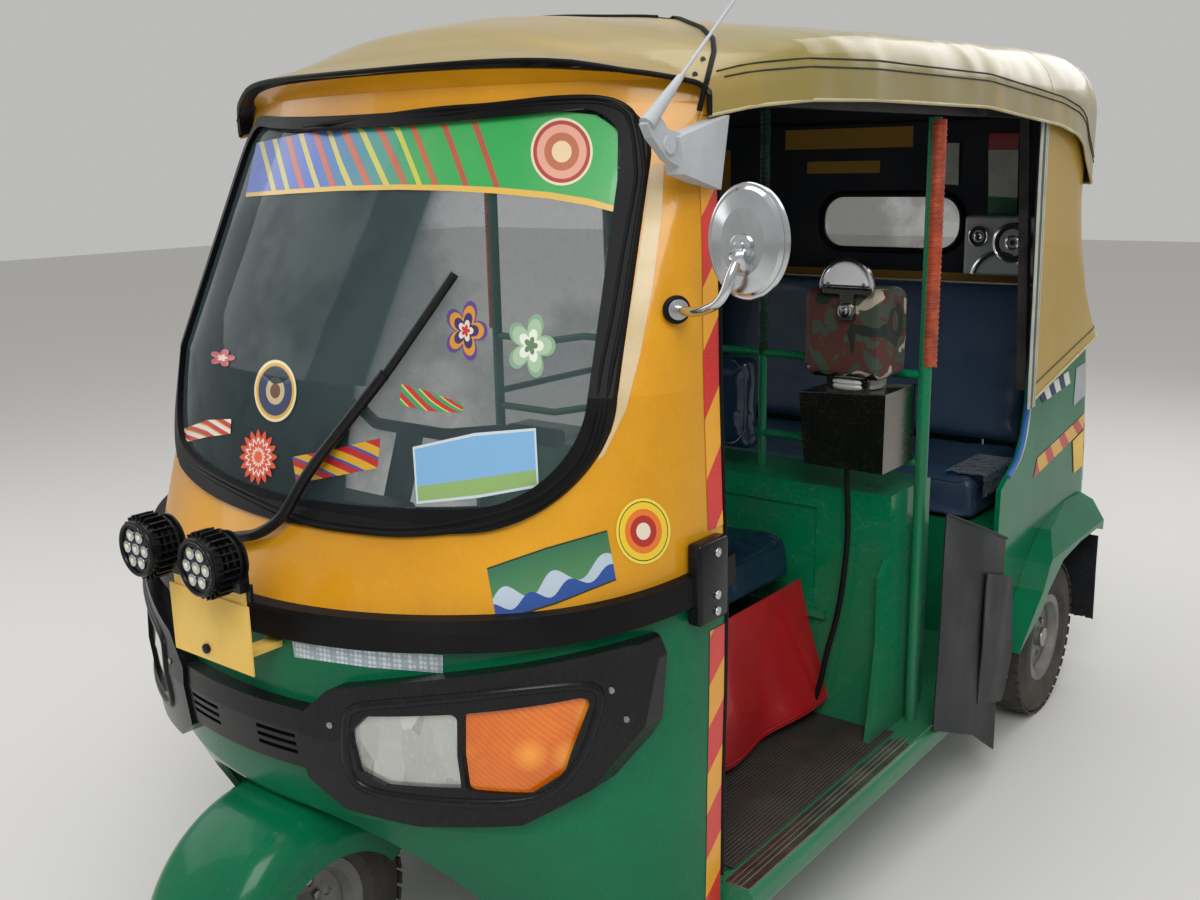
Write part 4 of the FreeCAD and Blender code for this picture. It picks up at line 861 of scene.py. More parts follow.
def curtainPlace(u, v, out=0.0):
    z = 1000.0
    for _ in range(4):
        _, half, rear, side, radius = rowAt(curtainRows, z)
        x, depth = archPoint(half + out, rear - curtain["foot"] + out, side, radius + out, u)
        y = max(curtain["foot"] + depth, curtainFront(z))
        z = between(rowAt(curtainHem, y)[1], curtain["top"], v)
    return x, y, z


def curtainSpot(u, v):
    x, y, z = curtainPlace(u, v)
    out = Vector((x, y - 700, 0)).normalized()
    wide = 2.2 * ripple(x / 1000, y / 1000, z / 1000, 5.0, 9.0)
    fold = wide + 1.2 * ripple(x / 90, y / 90, z / 500, 1.0, 2.0) * v
    return at(x, y, z) + out * (fold - 1.5) / 1000


curtains = gridSheet("hood_curtains", curtain["columns"], curtain["rows"], curtainSpot)
thickened(curtains, curtain["sheet"])
rearWindow = {"half": (214, 72.5), "corner": 62, "middle": (0, 1220, 1272.5), "deep": 0.2}
deselectAll()
bpy.ops.mesh.primitive_cube_add(size=1, location=at(*rearWindow["middle"]))
windowCutter = named("window_cutter")
windowCutter.dimensions = (rearWindow["half"][0] / 500, rearWindow["deep"], rearWindow["half"][1] / 500)
settle(windowCutter)
editAll(windowCutter)
bpy.ops.mesh.select_all(action="DESELECT")
editDone()
for edge in windowCutter.data.edges:
    ends = [windowCutter.data.vertices[index].co for index in edge.vertices]
    edge.select = abs(ends[0].y - ends[1].y) > 0.1
bpy.ops.object.mode_set(mode="EDIT")
bpy.ops.mesh.select_mode(type="EDGE")
bpy.ops.mesh.bevel(offset=rearWindow["corner"] / 1000, segments=8)
editDone()
finishWith(curtains, "BOOLEAN", object=windowCutter, operation="DIFFERENCE", solver="EXACT")
pick(windowCutter)
bpy.ops.object.delete()
print("hood back", len(curtains.data.polygons))
dressSheet(curtains, "curtainVinyl", "liningCloth")
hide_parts("hood_back")


def roundedLoop(half, rise, corner, count=8):
    # a rounded rectangle, anticlockwise from its lower right corner
    points = []
    for centreX, centreZ, start in ((half - corner, corner - rise, -90), (half - corner, rise - corner, 0),
                                    (corner - half, rise - corner, 90), (corner - half, corner - rise, 180)):
        for index in range(count + 1):
            turn = math.radians(start + 90 * index / count)
            points.append((centreX + corner * math.cos(turn), centreZ + corner * math.sin(turn)))
    return points


# Frame round the rear window, outside and inside
windowFrames = []
for depth, start, inwards, radius, grow in ((1213, 1500, -1, 0.006, 6), (1201, 1000, 1, 0.009, 9)):
    ring = []
    for x, z in roundedLoop(*[size + grow for size in (*rearWindow["half"], rearWindow["corner"])]):
        height = rearWindow["middle"][2] + z
        found, _ = hitOn("hood_back", at(x, start, height), (0, inwards, 0), 0.001)
        ring.append(found or at(x, depth, height))
    windowFrames.append(tubeAlong(f"window_frame_{depth}", ring, radius, closed=True, sides=3))
dress(joined("rear_window_frame", windowFrames), "rubber")

# Bound front edges of the curtains: white, dark green and white bands
def bandPaint(tree, base):
    along = uvOf(tree)
    middle = calc(tree, "LESS_THAN", apart(tree, along["X"], 0.45), 0.17)
    seam = calc(tree, "LESS_THAN", apart(tree, along["X"], 0.82), 0.03)
    banded = mixColor(tree, middle, base, tint("33523d"))
    return mixColor(tree, seam, banded, tint("4a4a40"))


finishes["curtainBand"] = surface("curtain binding", "d2d3cb", "b5b6ac", 0.5, cloud=14.0, scratch=0.3,
                                  scratchColor="77776c", dust=(0.3, 0.8, 1.7), dustColor="98937f", paint=bandPaint)
binding = {"low": 872, "high": 1540, "ahead": 6, "wide": 46, "wave": 1.2, "out": 1.5, "sheet": 0.003}


def bindingSheet(side):
    def spot(u, v):
        z = between(binding["low"], binding["high"], v)
        y = curtainFront(z) - binding["ahead"] + binding["wide"] * u
        wave = binding["wave"] * ripple(z / 90, 3 * side, u * 2, 1.0)
        return at(side * (between(626.5, 625, (z - 870) / 690) + binding["out"] + wave * 0.5), y + wave, z)
    return thickened(gridSheet(f"curtain_binding_{side + 2}", 6, 40, spot), binding["sheet"], -side)


bands = [bindingSheet(side) for side in (1, -1)]
dress(joined("curtain_bindings", bands), "curtainBand")
hemCurtain = [at(*curtainPlace(index / 80, 0.0, 1.0)) for index in range(81)]
beadOn("curtain_hem", hemCurtain, 0.003, "hem", "canopy_vinyl")
hemSeam = [at(*curtainPlace(index / 80, 0.055, 0.6)) for index in range(81)]
beadOn("curtain_stitch", hemSeam, 0.0011, "stitch", sides=1)

# Seats and backs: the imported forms, taken in, then filled by a short cloth run
pads = {
    "driver_cushion": {"finish": "driverBlue", "take": 0.008, "cap": 0.012, "fill": 0.8, "voxel": 0.009},
    "driver_backrest": {"finish": "driverBlue", "take": 0.006, "cap": 0.010, "fill": 0.8, "voxel": 0.007},
    "passenger_cushion": {"finish": "seatBlue", "take": 0.009, "cap": 0.013, "fill": 0.7, "voxel": 0.012},
    "passenger_backrest": {"finish": "seatBlue", "take": 0.008, "cap": 0.012, "fill": 0.6, "voxel": 0.012}}
padding = {"pressure": 4.0, "quality": 5, "moments": 16, "heldBelow": 0.01, "first": (0.6, 3), "last": (0.5, 2)}


def padFrom(source, name, settings):
    deselectAll()
    pad = bpy.data.objects.new(name, nodes[source].data.copy())
    bpy.context.scene.collection.objects.link(pad)
    pad.data.name = name
    recalculate(pad)
    finishWith(pad, "REMESH", mode="VOXEL", voxel_size=settings["voxel"])
    factor, rounds = padding["first"]
    finishWith(pad, "SMOOTH", factor=factor, iterations=rounds)
    finishWith(pad, "DISPLACE", strength=-settings["take"], mid_level=0.0)
    start = [corner.co.copy() for corner in pad.data.vertices]
    low = min(corner.z for corner in start)
    held = pad.vertex_groups.new(name="held")
    lowest = [index for index, corner in enumerate(start) if corner.z < low + padding["heldBelow"]]
    held.add(lowest, 1.0, "REPLACE")
    pick(pad)
    cloth = pad.modifiers.new("Cloth", "CLOTH")
    cloth.settings.use_pressure = True
    cloth.settings.uniform_pressure_force = padding["pressure"]
    cloth.settings.quality = padding["quality"]
    cloth.settings.effector_weights.gravity = 0.0
    cloth.settings.vertex_group_mass = "held"
    for moment in range(1, padding["moments"]):
        bpy.context.scene.frame_set(moment)
    bpy.ops.object.modifier_apply(modifier=cloth.name)
    bpy.context.scene.frame_set(1)
    for corner, before in zip(pad.data.vertices, start):
        moved = corner.co - before
        if moved.length > settings["cap"]:
            corner.co = before + moved.normalized() * settings["cap"]
    factor, rounds = padding["last"]
    finishWith(pad, "SMOOTH", factor=factor, iterations=rounds)
    dress(pad, settings["finish"], angle=60)
    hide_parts(source)
    return pad


padded = {source: padFrom(source, source.replace("_cushion", "_pad").replace("_backrest", "_back_pad"), settings)
          for source, settings in pads.items()}
print("seats filled", [len(pad.data.polygons) for pad in padded.values()])


def pipingOver(name, piece, points, direction, radius, finish, closed=False):
    spots = [spot for spot in (onPiece(piece, point, direction, radius * 0.3) for point in points) if spot]
    return beadOn(name, spots, radius, finish, "blue_vinyl", closed=closed)


# name, seat, where its middle lies (y and z), half width, half depth, corner, the side it lies on, finish
pipings = [("driver_seat_piping", "driver_cushion", -177, 800, 352, 148, 30, "top", "driverBlue"),
           ("driver_back_piping", "driver_backrest", -60, 940, 205, 92, 34, "front", "driverBlue"),
           ("rear_seat_piping", "passenger_cushion", 836, 800, 498, 190, 34, "top", "seatBlue")]
for name, seat, y, z, half, rise, corner, side, finish in pipings:
    onTop = side == "top"
    points = [at(u, y + w, z) if onTop else at(u, y, z + w) for u, w in roundedLoop(half, rise, corner, 10)]
    pipingOver(name, padded[seat], points, (0, 0, -1) if onTop else (0, 1, 0), 0.0028, finish, True)
backTop = [at(between(-492, 492, index / 60), 1098, 1300) for index in range(61)]
pipingOver("rear_back_trim", padded["passenger_backrest"], backTop, (0, 0, -1), 0.0032, "whiteTrim")

# Red skirt round the driver's seat box, hung from its top edge
skirt = {"columns": 96, "rows": 26, "top": 586, "low": 292, "flare": 46, "fold": 9, "sheet": 0.0025, "swing": 1.3,
         "wave": 34, "slowWave": 11, "kick": 30, "rise": 22}
skirtPath = [(378, -4), (378, -348), (-378, -348), (-378, -4)]


def skirtPoint(u):
    lengths = [math.dist(first, second) for first, second in zip(skirtPath, skirtPath[1:])]
    run = u * sum(lengths)
    for (first, second), length in zip(zip(skirtPath, skirtPath[1:]), lengths):
        if run <= length + 0.001:
            return [between(a, b, run / length) for a, b in zip(first, second)]
        run -= length
    return skirtPath[-1]


def skirtSpot(u, v):
    x, y = skirtPoint(u)
    outward = Vector((math.copysign(1, x) if abs(x) > 377 else x / 378 * 0.5,
                      -1 if y < -347 else 0.15 * (y + 176) / 172, 0))
    drop = 1 - v
    rear = max(0.0, (y + 180) / 176) if abs(x) > 370 else 0.0
    swing = skirt["flare"] * drop ** skirt["swing"] * (0.55 + 0.6 * rear)
    strength = 0.5 + 0.5 * math.sin(u * skirt["slowWave"])
    fold = skirt["fold"] * drop * math.sin(u * skirt["wave"] + 0.6) * strength
    fold += 3 * ripple(x / 70, y / 70, v * 3, 1)
    out = 3 + swing + fold * min(1.0, drop * 3)
    kick = skirt["kick"] * drop * rear
    z = between(skirt["low"] + skirt["rise"] * rear, skirt["top"], v)
    return at(x + outward.x * out, y + outward.y * out + kick, z)


skirtPiece = gridSheet("driver_seat_skirt", skirt["columns"], skirt["rows"], skirtSpot)
thickened(skirtPiece, skirt["sheet"])
dress(skirtPiece, "redVinyl", angle=50)
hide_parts("driver_seat_base")
hemLine = [skirtSpot(index / 96, 0.035) + Vector((0.002, -0.001, 0)) for index in range(97)]
beadOn("skirt_hem", hemLine, 0.0022, "redVinyl", "red_vinyl")
print("skirt done")


# Windscreen: banner across the top and plain generic stickers on the glass

def pixelSheet(name, target, top, bottom, columns, rows, gap=0.0009):
    # a thin sheet between two rows of pixels of the photograph, laid on a CAD node
    def spot(u, v):
        def alongRow(row):
            place = u * (len(row) - 1)
            index = min(int(place), len(row) - 2)
            return [between(a, b, place - index) for a, b in zip(row[index], row[index + 1])]
        (topX, topY), (lowX, lowY) = alongRow(top), alongRow(bottom)
        return seenOn(target, between(lowX, topX, v), between(lowY, topY, v), gap)
    return gridSheet(name, columns, rows, spot)


def bandMask(tree, value, low, high):
    return times(tree, calc(tree, "GREATER_THAN", value, low), calc(tree, "LESS_THAN", value, high))


def stripesOn(tree, value, count, share):
    return calc(tree, "LESS_THAN", calc(tree, "FRACT", times(tree, value, count)), share)


def bannerPaint(tree, base):
    # blue runs into green, with slanted bars at the left and a gold band along the foot
    uv = uvOf(tree)
    green = mixColor(tree, spread(tree, uv["X"], 0.18, 0.42), tint("1f57b8"), tint("12a04b"))
    slant = calc(tree, "ADD", uv["X"], times(tree, uv["Y"], 0.07))
    bars = times(tree, stripesOn(tree, slant, 26.0, 0.34), bandMask(tree, slant, 0.06, 0.5))
    barred = mixColor(tree, times(tree, bars, 0.8), green, tint("d8c92f"))
    red = times(tree, stripesOn(tree, slant, 13.0, 0.2), bandMask(tree, slant, 0.1, 0.66))
    barred = mixColor(tree, times(tree, red, 0.85), barred, tint("b8252c"))
    foot = bandMask(tree, uv["Y"], 0.0, 0.075)
    return mixColor(tree, foot, barred, tint("d9b04a"))


finishes["banner"] = surface("banner film", "12a04b", None, 0.25, coat=0.4, paint=bannerPaint, dust=(0.2, 1.2, 1.7))
bannerTop = [(257, 143), (300, 134), (345, 126), (400, 119), (450, 114), (500, 111), (550, 111), (596, 115),
             (618, 130)]
bannerLow = [(246, 197), (290, 194), (340, 191), (400, 190), (450, 191), (500, 194), (550, 199), (590, 206),
             (617, 213)]
banner = pixelSheet("windscreen_banner", "windscreen", bannerTop, bannerLow, 48, 8)
dress(banner, "banner")


def decal(name, target, centre, size, outline):
    # a flat sticker whose edge is outline(turn), in shares of its size in pixels
    deselectAll()
    bpy.ops.mesh.primitive_circle_add(vertices=64, radius=1, fill_type="TRIFAN", calc_uvs=True)
    sheet = named(name)
    for corner in sheet.data.vertices:
        reach = corner.co.length
        turn = math.atan2(corner.co.y, corner.co.x)
        scale = outline(turn) * reach
        px = centre[0] + size[0] * scale * math.cos(turn)
        py = centre[1] - size[1] * scale * math.sin(turn)
        corner.co = seenOn(target, px, py, filmLift)
    return dress(sheet, name)


def ringsPaint(colors):
    # rings of plain colour from the middle outwards: (radius, colour)
    def paint(tree, base):
        uv = addNode(tree, "ShaderNodeTexCoord").outputs["UV"]
        away = addNode(tree, "ShaderNodeVectorMath", {0: uv, 1: (0.5, 0.5, 0.0)},
                       operation="DISTANCE").outputs["Value"]
        ringed = base
        for radius, color in colors:
            ringed = mixColor(tree, calc(tree, "LESS_THAN", away, radius), ringed, tint(color))
        return ringed
    return paint


def roundShape(turn):
    return 1.0


def rayShape(turn):
    return 0.70 + 0.30 * abs(math.cos(turn * 8)) ** 1.5


def petalShape(turn):
    return 0.45 + 0.55 * abs(math.cos(turn * 2.5)) ** 0.8


def ribbonPaint(colors, slant=0.5, count=3.0):
    # slanting fields of two colours with a fine line between them
    def paint(tree, base):
        uv = uvOf(tree)
        place = calc(tree, "ADD", uv["X"], times(tree, uv["Y"], slant))
        first = mixColor(tree, stripesOn(tree, place, count, 0.5), tint(colors[0]), tint(colors[1]))
        edge = stripesOn(tree, calc(tree, "ADD", place, 0.2), count, 0.14)
        return mixColor(tree, edge, first, tint(colors[2]))
    return paint


stickers = [
    ("sticker_rays", "windscreen", (259, 457), (19, 28), rayShape,
     [(0.36, "e8e2da"), (0.30, "e2532f"), (0.19, "f2d9c8"), (0.13, "e8643c")], "e2532f"),
    ("sticker_roundel", "windscreen", (276, 391), (21, 31), roundShape,
     [(0.45, "d9a93a"), (0.40, "2f3f63"), (0.22, "c9b48c"), (0.12, "6d4a35")], "e8d9b0"),
    ("sticker_flower", "windscreen", (466, 331), (22, 31), petalShape,
     [(0.42, "c98a2a"), (0.30, "3a2c5f"), (0.18, "d8c7b2"), (0.10, "b8323a")], "5a3d80"),
    ("sticker_leaf", "windscreen", (531, 346), (25, 33), petalShape,
     [(0.42, "9fb79a"), (0.26, "d9ddcf"), (0.14, "5f7d5d")], "7f9f84"),
    ("sticker_petal", "windscreen", (223, 358), (13, 9), petalShape, [(0.4, "b7434a"), (0.2, "e5c9b8")], "b04a4f"),
    ("banner_disc", "windscreen", (562, 152), (31, 34), roundShape,
     [(0.46, "a8433a"), (0.40, "d9a08a"), (0.28, "b56b4e"), (0.16, "e0c7a0")], "d9d2b4"),
    ("pillar_roundel", "cowl_upper", (643, 531), (27, 33), roundShape,
     [(0.455, "1d1b1a"), (0.44, "e8c62e"), (0.34, "e2762a"), (0.24, "b02a24"), (0.13, "e3d7c2")], "e8d34c")]
for name, target, centre, size, shape, rings, ground in stickers:
    finishes[name] = surface(name, ground, None, 0.3, coat=0.3, paint=ringsPaint(rings))
    decal(name, target, centre, size, shape)


def meadowPaint(tree, base):
    # sky over grass, with soft clouds and a plain pale rim
    uv = uvOf(tree)
    cloud = placed(tree, effects["cloud"], {"Scale": 42.0, "Sharp": 0.5})["Mask"]
    sky = mixColor(tree, cloud, tint("7fb0d6"), tint("dfe6e8"))
    land = mixColor(tree, cloud, tint("8fae6a"), tint("c8a86a"))
    view = mixColor(tree, calc(tree, "LESS_THAN", uv["Y"], 0.3), sky, land)
    rim = calc(tree, "GREATER_THAN", apart(tree, uv["Y"], 0.5), 0.455)
    ends = calc(tree, "GREATER_THAN", apart(tree, uv["X"], 0.5), 0.485)
    return mixColor(tree, calc(tree, "MAXIMUM", rim, ends), view, tint("c9d3da"))


finishes["meadow"] = surface("landscape sticker", "c9d3da", None, 0.28, coat=0.3, paint=meadowPaint)
card = pixelSheet("windscreen_card", "windscreen", [(413, 447), (475, 433), (536, 428)],
                  [(417, 504), (478, 498), (539, 487)], 18, 8, filmLift)
dress(card, "meadow")


def hillsPaint(tree, base):
    # three soft hills under a green sky, in place of a picture
    uv = uvOf(tree)
    edges = []
    for height, rate, start, swing in ((0.42, 15.0, 0.0, 0.16), (0.24, 19.0, 2.0, 0.1)):
        wave = calc(tree, "SINE", calc(tree, "MULTIPLY_ADD", uv["X"], rate, start))
        edges.append(calc(tree, "MULTIPLY_ADD", wave, swing, height))
    sky = mixColor(tree, uv["Y"], tint("5d8f5c"), tint("2f6b4c"))
    hills = mixColor(tree, calc(tree, "LESS_THAN", uv["Y"], edges[0]), sky, tint("b4c3cf"))
    near = mixColor(tree, calc(tree, "LESS_THAN", uv["Y"], edges[1]), hills, tint("2c4f96"))
    rim = calc(tree, "GREATER_THAN", apart(tree, uv["Y"], 0.5), 0.47)
    return mixColor(tree, rim, near, tint("1f3324"))


finishes["hills"] = surface("hill sticker", "5d8f5c", None, 0.28, coat=0.3, paint=hillsPaint)
panelSticker = pixelSheet("cowl_sticker", "cowl_upper", [(487, 568), (545, 548), (607, 530)],
                          [(497, 622), (556, 604), (616, 580)], 20, 8, 0.0009)
dress(panelSticker, "hills")
ribbons = [("ribbon_left", [(184, 429), (208, 420), (232, 419)], [(184, 443), (208, 437), (231, 434)],
            ("c8322d", "f0e6d8", "e0b23a")),
           ("ribbon_low", [(293, 457), (335, 449), (381, 438)], [(297, 483), (337, 476), (378, 468)],
            ("d8a62a", "b8282a", "2b57a8")),
           ("ribbon_bird", [(402, 384), (430, 392), (464, 404)], [(400, 405), (428, 411), (462, 413)],
            ("b8383a", "3c9a6a", "e3c14a"))]
for name, top, low, colors in ribbons:
    finishes[name] = surface(name, colors[0], None, 0.3, coat=0.3, paint=ribbonPaint(colors))
    dress(pixelSheet(name, "windscreen", top, low, 14, 3, filmLift), name)
print("windscreen stickers done")

# Ridges of the windscreen gasket: two soft beads that catch the light
gasketEdge = [(255, 135), (305, 123), (336, 119), (430, 106), (492, 99), (555, 95), (602, 95), (630, 104),
              (642, 124), (649, 162), (649, 180), (639, 247), (630, 311), (619, 367), (609, 420), (592, 465),
              (559, 499), (521, 519), (465, 534), (409, 541), (360, 538), (300, 525), (247, 501), (202, 476),
              (176, 457)]


def curveThrough(ends, steps=5):
    # a soft curve through every point but the first and the last, which only steer it
    line = []
    for a, b, c, d in zip(ends, ends[1:], ends[2:], ends[3:]):
        for step in range(steps):
            t = step / steps
            line.append(0.5 * (2 * b + (c - a) * t + (2 * a - 5 * b + 4 * c - d) * t * t
                               + (3 * b - a - 3 * c + d) * t ** 3))
    return line


bandWidths = [9, 12, 13, 13, 13, 13, 13, 14, 18, 22, 24, 24, 24, 24, 22, 20, 19, 18, 18, 18, 17, 14, 11, 9, 9]
for name, share, radius in (("gasket_outer_bead", 0.28, 0.0042), ("gasket_inner_bead", 0.72, 0.0034)):
    places = []
    for (px, py), width in zip(gasketEdge, bandWidths):
        inwards = Vector((420 - px, 320 - py)).normalized() * width * share
        places.append(seenOn("windscreen_gasket", px + inwards.x, py + inwards.y, -0.0012))
    path = curveThrough([places[0]] + places + [places[-1]]) + [places[-1]]
    beadOn(name, path, radius, "rubber", sides=3)

# Diagonal tape up the door pillar and down the cowl's edge, with the grey door trim beside it
doorEdge = [(200, -650), (1130, -650), (1545, -602), (1620, -600)]
tape = {"wide": 42, "gap": 4, "lift": 0.0012, "side": 594}
doorTrim = {"low": 290, "high": 1540, "steps": 39, "ahead": 6, "out": 1, "side": 590, "radius": 0.0042}


def edgeSide(target, back, height, lift=0.0):
    # the outer side of the pillar or cowl at this height, so far ahead of the door edge
    edge = rowAt(doorEdge, height)[1]
    return hitOn(target, at(clearSide, edge - back, height), (-1, 0, 0), lift)[0], edge


def tapePaint(tree, base):
    # red fields on yellow, slanting up to the rear; UV Y counts the fields
    uv = uvOf(tree)
    place = calc(tree, "SUBTRACT", uv["Y"], times(tree, uv["X"], 0.24))
    return mixColor(tree, calc(tree, "LESS_THAN", calc(tree, "FRACT", place), 0.53), base, tint("d3150f"))


finishes["tape"] = surface("diagonal tape", "f2a90f", "e39c0c", 0.3, coat=0.4, dust=(0.10, 0.2, 1.2), scratch=0.10,
                           scratchColor="b9a58a", paint=tapePaint)


def tapeSheet(name, target, low, high):
    def spot(u, v):
        z = between(low, high, v)
        back = tape["gap"] + tape["wide"] * (1 - u)
        place, edge = edgeSide(target, back, z, tape["lift"])
        return place or at(tape["side"], edge - back, z)
    return gridSheet(name, 5, 48, spot)


def countFields(sheet, count, start):
    for corner in sheet.data.uv_layers.active.data:
        corner.uv.y = corner.uv.y * count + start


tapeUpper = tapeSheet("door_tape_upper", "cowl_upper", 905, 1425)
countFields(tapeUpper, 2.65, 0.12)
tapeLower = tapeSheet("door_tape_lower", "cowl_lower", 232, 742)
countFields(tapeLower, 3.3, 0.3)
for strip in (tapeUpper, tapeLower):
    bothSides(strip, "tape")
trimPoints = []
for index in range(doorTrim["steps"] + 1):
    z = between(doorTrim["low"], doorTrim["high"], index / doorTrim["steps"])
    place, edge = edgeSide("cowl_upper" if z > 800 else "cowl_lower", doorTrim["ahead"], z)
    trimX = place.x if place else at(doorTrim["side"], 0, 0).x
    trimPoints.append(Vector((trimX, (edge + doorTrim["out"]) / 1000, z / 1000)))
trimLeft = tubeAlong("door_trim_left", trimPoints, doorTrim["radius"])
bothSides(trimLeft, "rubber", right="door_trim_right")
print("pillar tape done")


# Trim on the cowl: a pale strip beside the gasket that is a painted highlight on the pillar's edge, reflective
# tape, hinge bracket with rivets
# painted highlight along the pillar's edge beside the gasket
highlightStrip = pixelSheet("pillar_strip", "cowl_upper",
                        [(664, 165), (662, 215), (652, 290), (640, 355), (626, 410), (604, 455)],
                        [(651, 165), (645, 215), (634, 290), (622, 355), (611, 415), (597, 462)], 40, 3)
bothSides(highlightStrip, "chamferHighlight")


def cellPaint(tree, base):
    # hexagon-like cells of reflective tape
    cells = cellsOn(tree, objectPlace(tree), 130.0, 0.1)
    return mixColor(tree, spread(tree, cells, 0.3, 0.55), base, tint("9fb2bd"))


finishes["reflector"] = surface("reflective tape", "e8ecee", "d5dade", 0.28, metallic=0.2, coat=0.6,
                                paint=cellPaint, dust=(0.12, 0.4, 0.8))
reflector = pixelSheet("front_reflector", "cowl_lower", [(292, 637), (368, 648), (443, 655)],
                       [(295, 657), (368, 667), (443, 673)], 16, 2)
bothSides(reflector, "reflector")


def ringOf(count, width, height):
    # places round an oval, as steps sideways and up
    turns = [2 * math.pi * index / count for index in range(count)]
    return [(width * math.cos(turn), height * math.sin(turn)) for turn in turns]


def boxPiece(name, low, high, bevel=0.002, segments=2):
    # a box between two corners in the vehicle's millimetres, its edges rounded
    deselectAll()
    middle = [(a + b) / 2 for a, b in zip(low, high)]
    bpy.ops.mesh.primitive_cube_add(size=1, location=at(*middle))
    piece = named(name)
    piece.scale = [(b - a) / 1000 for a, b in zip(low, high)]
    settle(piece)
    editAll(piece)
    bpy.ops.mesh.bevel(offset=bevel, segments=segments)
    editDone()
    return piece


def discPiece(name, centre, axis, radius, depth, sides=24, bevel=0.0015):
    # a short round body whose middle is at centre, with a rounded rim
    deselectAll()
    turn = Vector(axis).to_track_quat("Z", "Y").to_euler()
    bpy.ops.mesh.primitive_cylinder_add(vertices=sides, radius=radius / 1000, depth=depth / 1000, location=centre,
                                        rotation=turn)
    piece = settle(named(name))
    if bevel:
        pick(piece)
        rounding = piece.modifiers.new("Bevel", "BEVEL")
        rounding.width = bevel
        rounding.segments = 2
        rounding.angle_limit = math.radians(40)
        bpy.ops.object.modifier_apply(modifier=rounding.name)
    return piece


bracket = {"y": (-756, -677), "z": (770, 900), "ahead": 25.08, "sunk": 4, "thick": 4, "edge": 0.006,
           "rivets": ((-712, 880), (-712, 812), (-712, 786)), "head": (7.5, 5, 18, 0.002),
           "core": (3.2, 3, 12, 0.001)}
sideX = edgeSide("cowl_lower", bracket["ahead"], 700, tape["lift"])[0].x * 1000 - middleX * 1000
beltSpots = [hitOn("belt_moulding", at(clearSide, y, z), (-1, 0, 0), 0.0)[0]
             for y in range(-750, -690, 10) for z in range(800, 860, 6)]
beltX = max(spot.x for spot in beltSpots if spot) * 1000 - middleX * 1000
plate = boxPiece("hinge_bracket", (sideX - bracket["sunk"], bracket["y"][0], bracket["z"][0]),
                 (beltX + bracket["thick"], bracket["y"][1], bracket["z"][1]), bracket["edge"], 3)
rivets = []
for label, part, out in (("rivet", "head", 1.5), ("rivet_core", "core", 4)):
    for index, (y, z) in enumerate(bracket["rivets"]):
        middle = at(beltX + bracket["thick"] + out, y, z)
        rivets.append(discPiece(f"{label}_{index}", middle, (1, 0, 0), *bracket[part]))
bothSides(plate, "blackPlastic")
bothSides(joined("bracket_rivets", rivets), "chrome")
screw = discPiece("plate_screw", seenOn("front_plate", 208, 648, 0.003), (0, -1, 0), 8, 8, 18, 0.003)
dress(screw, "blackPlastic")

# Round lamps: cooling fins round each body, a lens ring and seven small light cups
spotLamp = {"middles": [(-62, 905), (92, 905)], "finCount": 26, "finReach": 46.5, "finY": -1236,
            "fin": (0.009, 0.030, 0.0022), "cupReach": 23, "cup": (9.5, 4, 18, 0.0012), "eye": (4.2, 2, 12, 0.0006),
            "rimReach": 40, "rim": 0.0038}
forwards = (0, -1, 0)
spotParts = {"fins": [], "cups": [], "eyes": []}
for x, z in spotLamp["middles"]:
    for index in range(spotLamp["finCount"]):
        turn = 2 * math.pi * index / spotLamp["finCount"]
        deselectAll()
        middle = at(x + spotLamp["finReach"] * math.cos(turn), spotLamp["finY"],
                    z + spotLamp["finReach"] * math.sin(turn))
        bpy.ops.mesh.primitive_cube_add(size=1, location=middle, rotation=(0, -turn, 0))
        fin = named(f"fin_{x}_{index}")
        fin.scale = spotLamp["fin"]
        spotParts["fins"].append(settle(fin))
    front, _ = hitOn("spot_lamps", at(x, -1400, z), (0, 1, 0), 0.0)
    frontY = front.y * 1000
    cups = [(0, 0)] + ringOf(6, spotLamp["cupReach"], spotLamp["cupReach"])
    for index, (du, dw) in enumerate(cups):
        cup = discPiece(f"cup_{x}_{index}", at(x + du, frontY - 1, z + dw), forwards, *spotLamp["cup"])
        eye = discPiece(f"eye_{x}_{index}", at(x + du, frontY - 3.2, z + dw), forwards, *spotLamp["eye"])
        spotParts["cups"].append(cup)
        spotParts["eyes"].append(eye)
    circle = [at(x + du, frontY - 1, z + dw) for du, dw in ringOf(36, spotLamp["rimReach"], spotLamp["rimReach"])]
    spotParts["fins"].append(tubeAlong(f"lamp_rim_{x}", circle, spotLamp["rim"], closed=True))
finishes["lampEyes"] = surface("lamp eyes", "e9e4c8", "d8d0a0", 0.2, coat=0.8, cloud=20.0)
for kind, finish, slot in (("fins", "blackPlastic", "black_plastic"), ("cups", "chrome", "chrome"),
                           ("eyes", "lampEyes", "clear_lens")):
    dress(joined(f"lamp_{kind}", spotParts[kind]), finish)

# Mirror: rim bead, raised centre and clamp; grommet at the foot of its arm
mirror = {"middle": (700, 1350), "rimY": -758, "half": (60, 76), "rim": 0.0035, "parts": [
    # name, place, axis, radius, depth, sides, edge
    ("mirror_boss", (700, -775, 1345), forwards, 17, 9, 28, 0.003),
    ("mirror_nut", (700, -781, 1345), forwards, 8, 8, 6, 0.0015),
    ("mirror_socket", (700, -779, 1326), (0, -0.7, 0.7), 12, 26, 20, 0.003)],
    "grommet": ((575, -748, 1249), (27, -23, 2), 21, 10, 28, 0.004)}
mirrorX, mirrorZ = mirror["middle"]
oval = [at(mirrorX + du, mirror["rimY"], mirrorZ + dw) for du, dw in ringOf(60, *mirror["half"])]
mirrorParts = [tubeAlong("mirror_rim", oval, mirror["rim"], closed=True, sides=3)]
mirrorParts += [discPiece(name, at(*place), *form) for name, place, *form in mirror["parts"]]
dress(joined("mirror_trim", mirrorParts), "chrome")
grommetPlace, *grommetForm = mirror["grommet"]
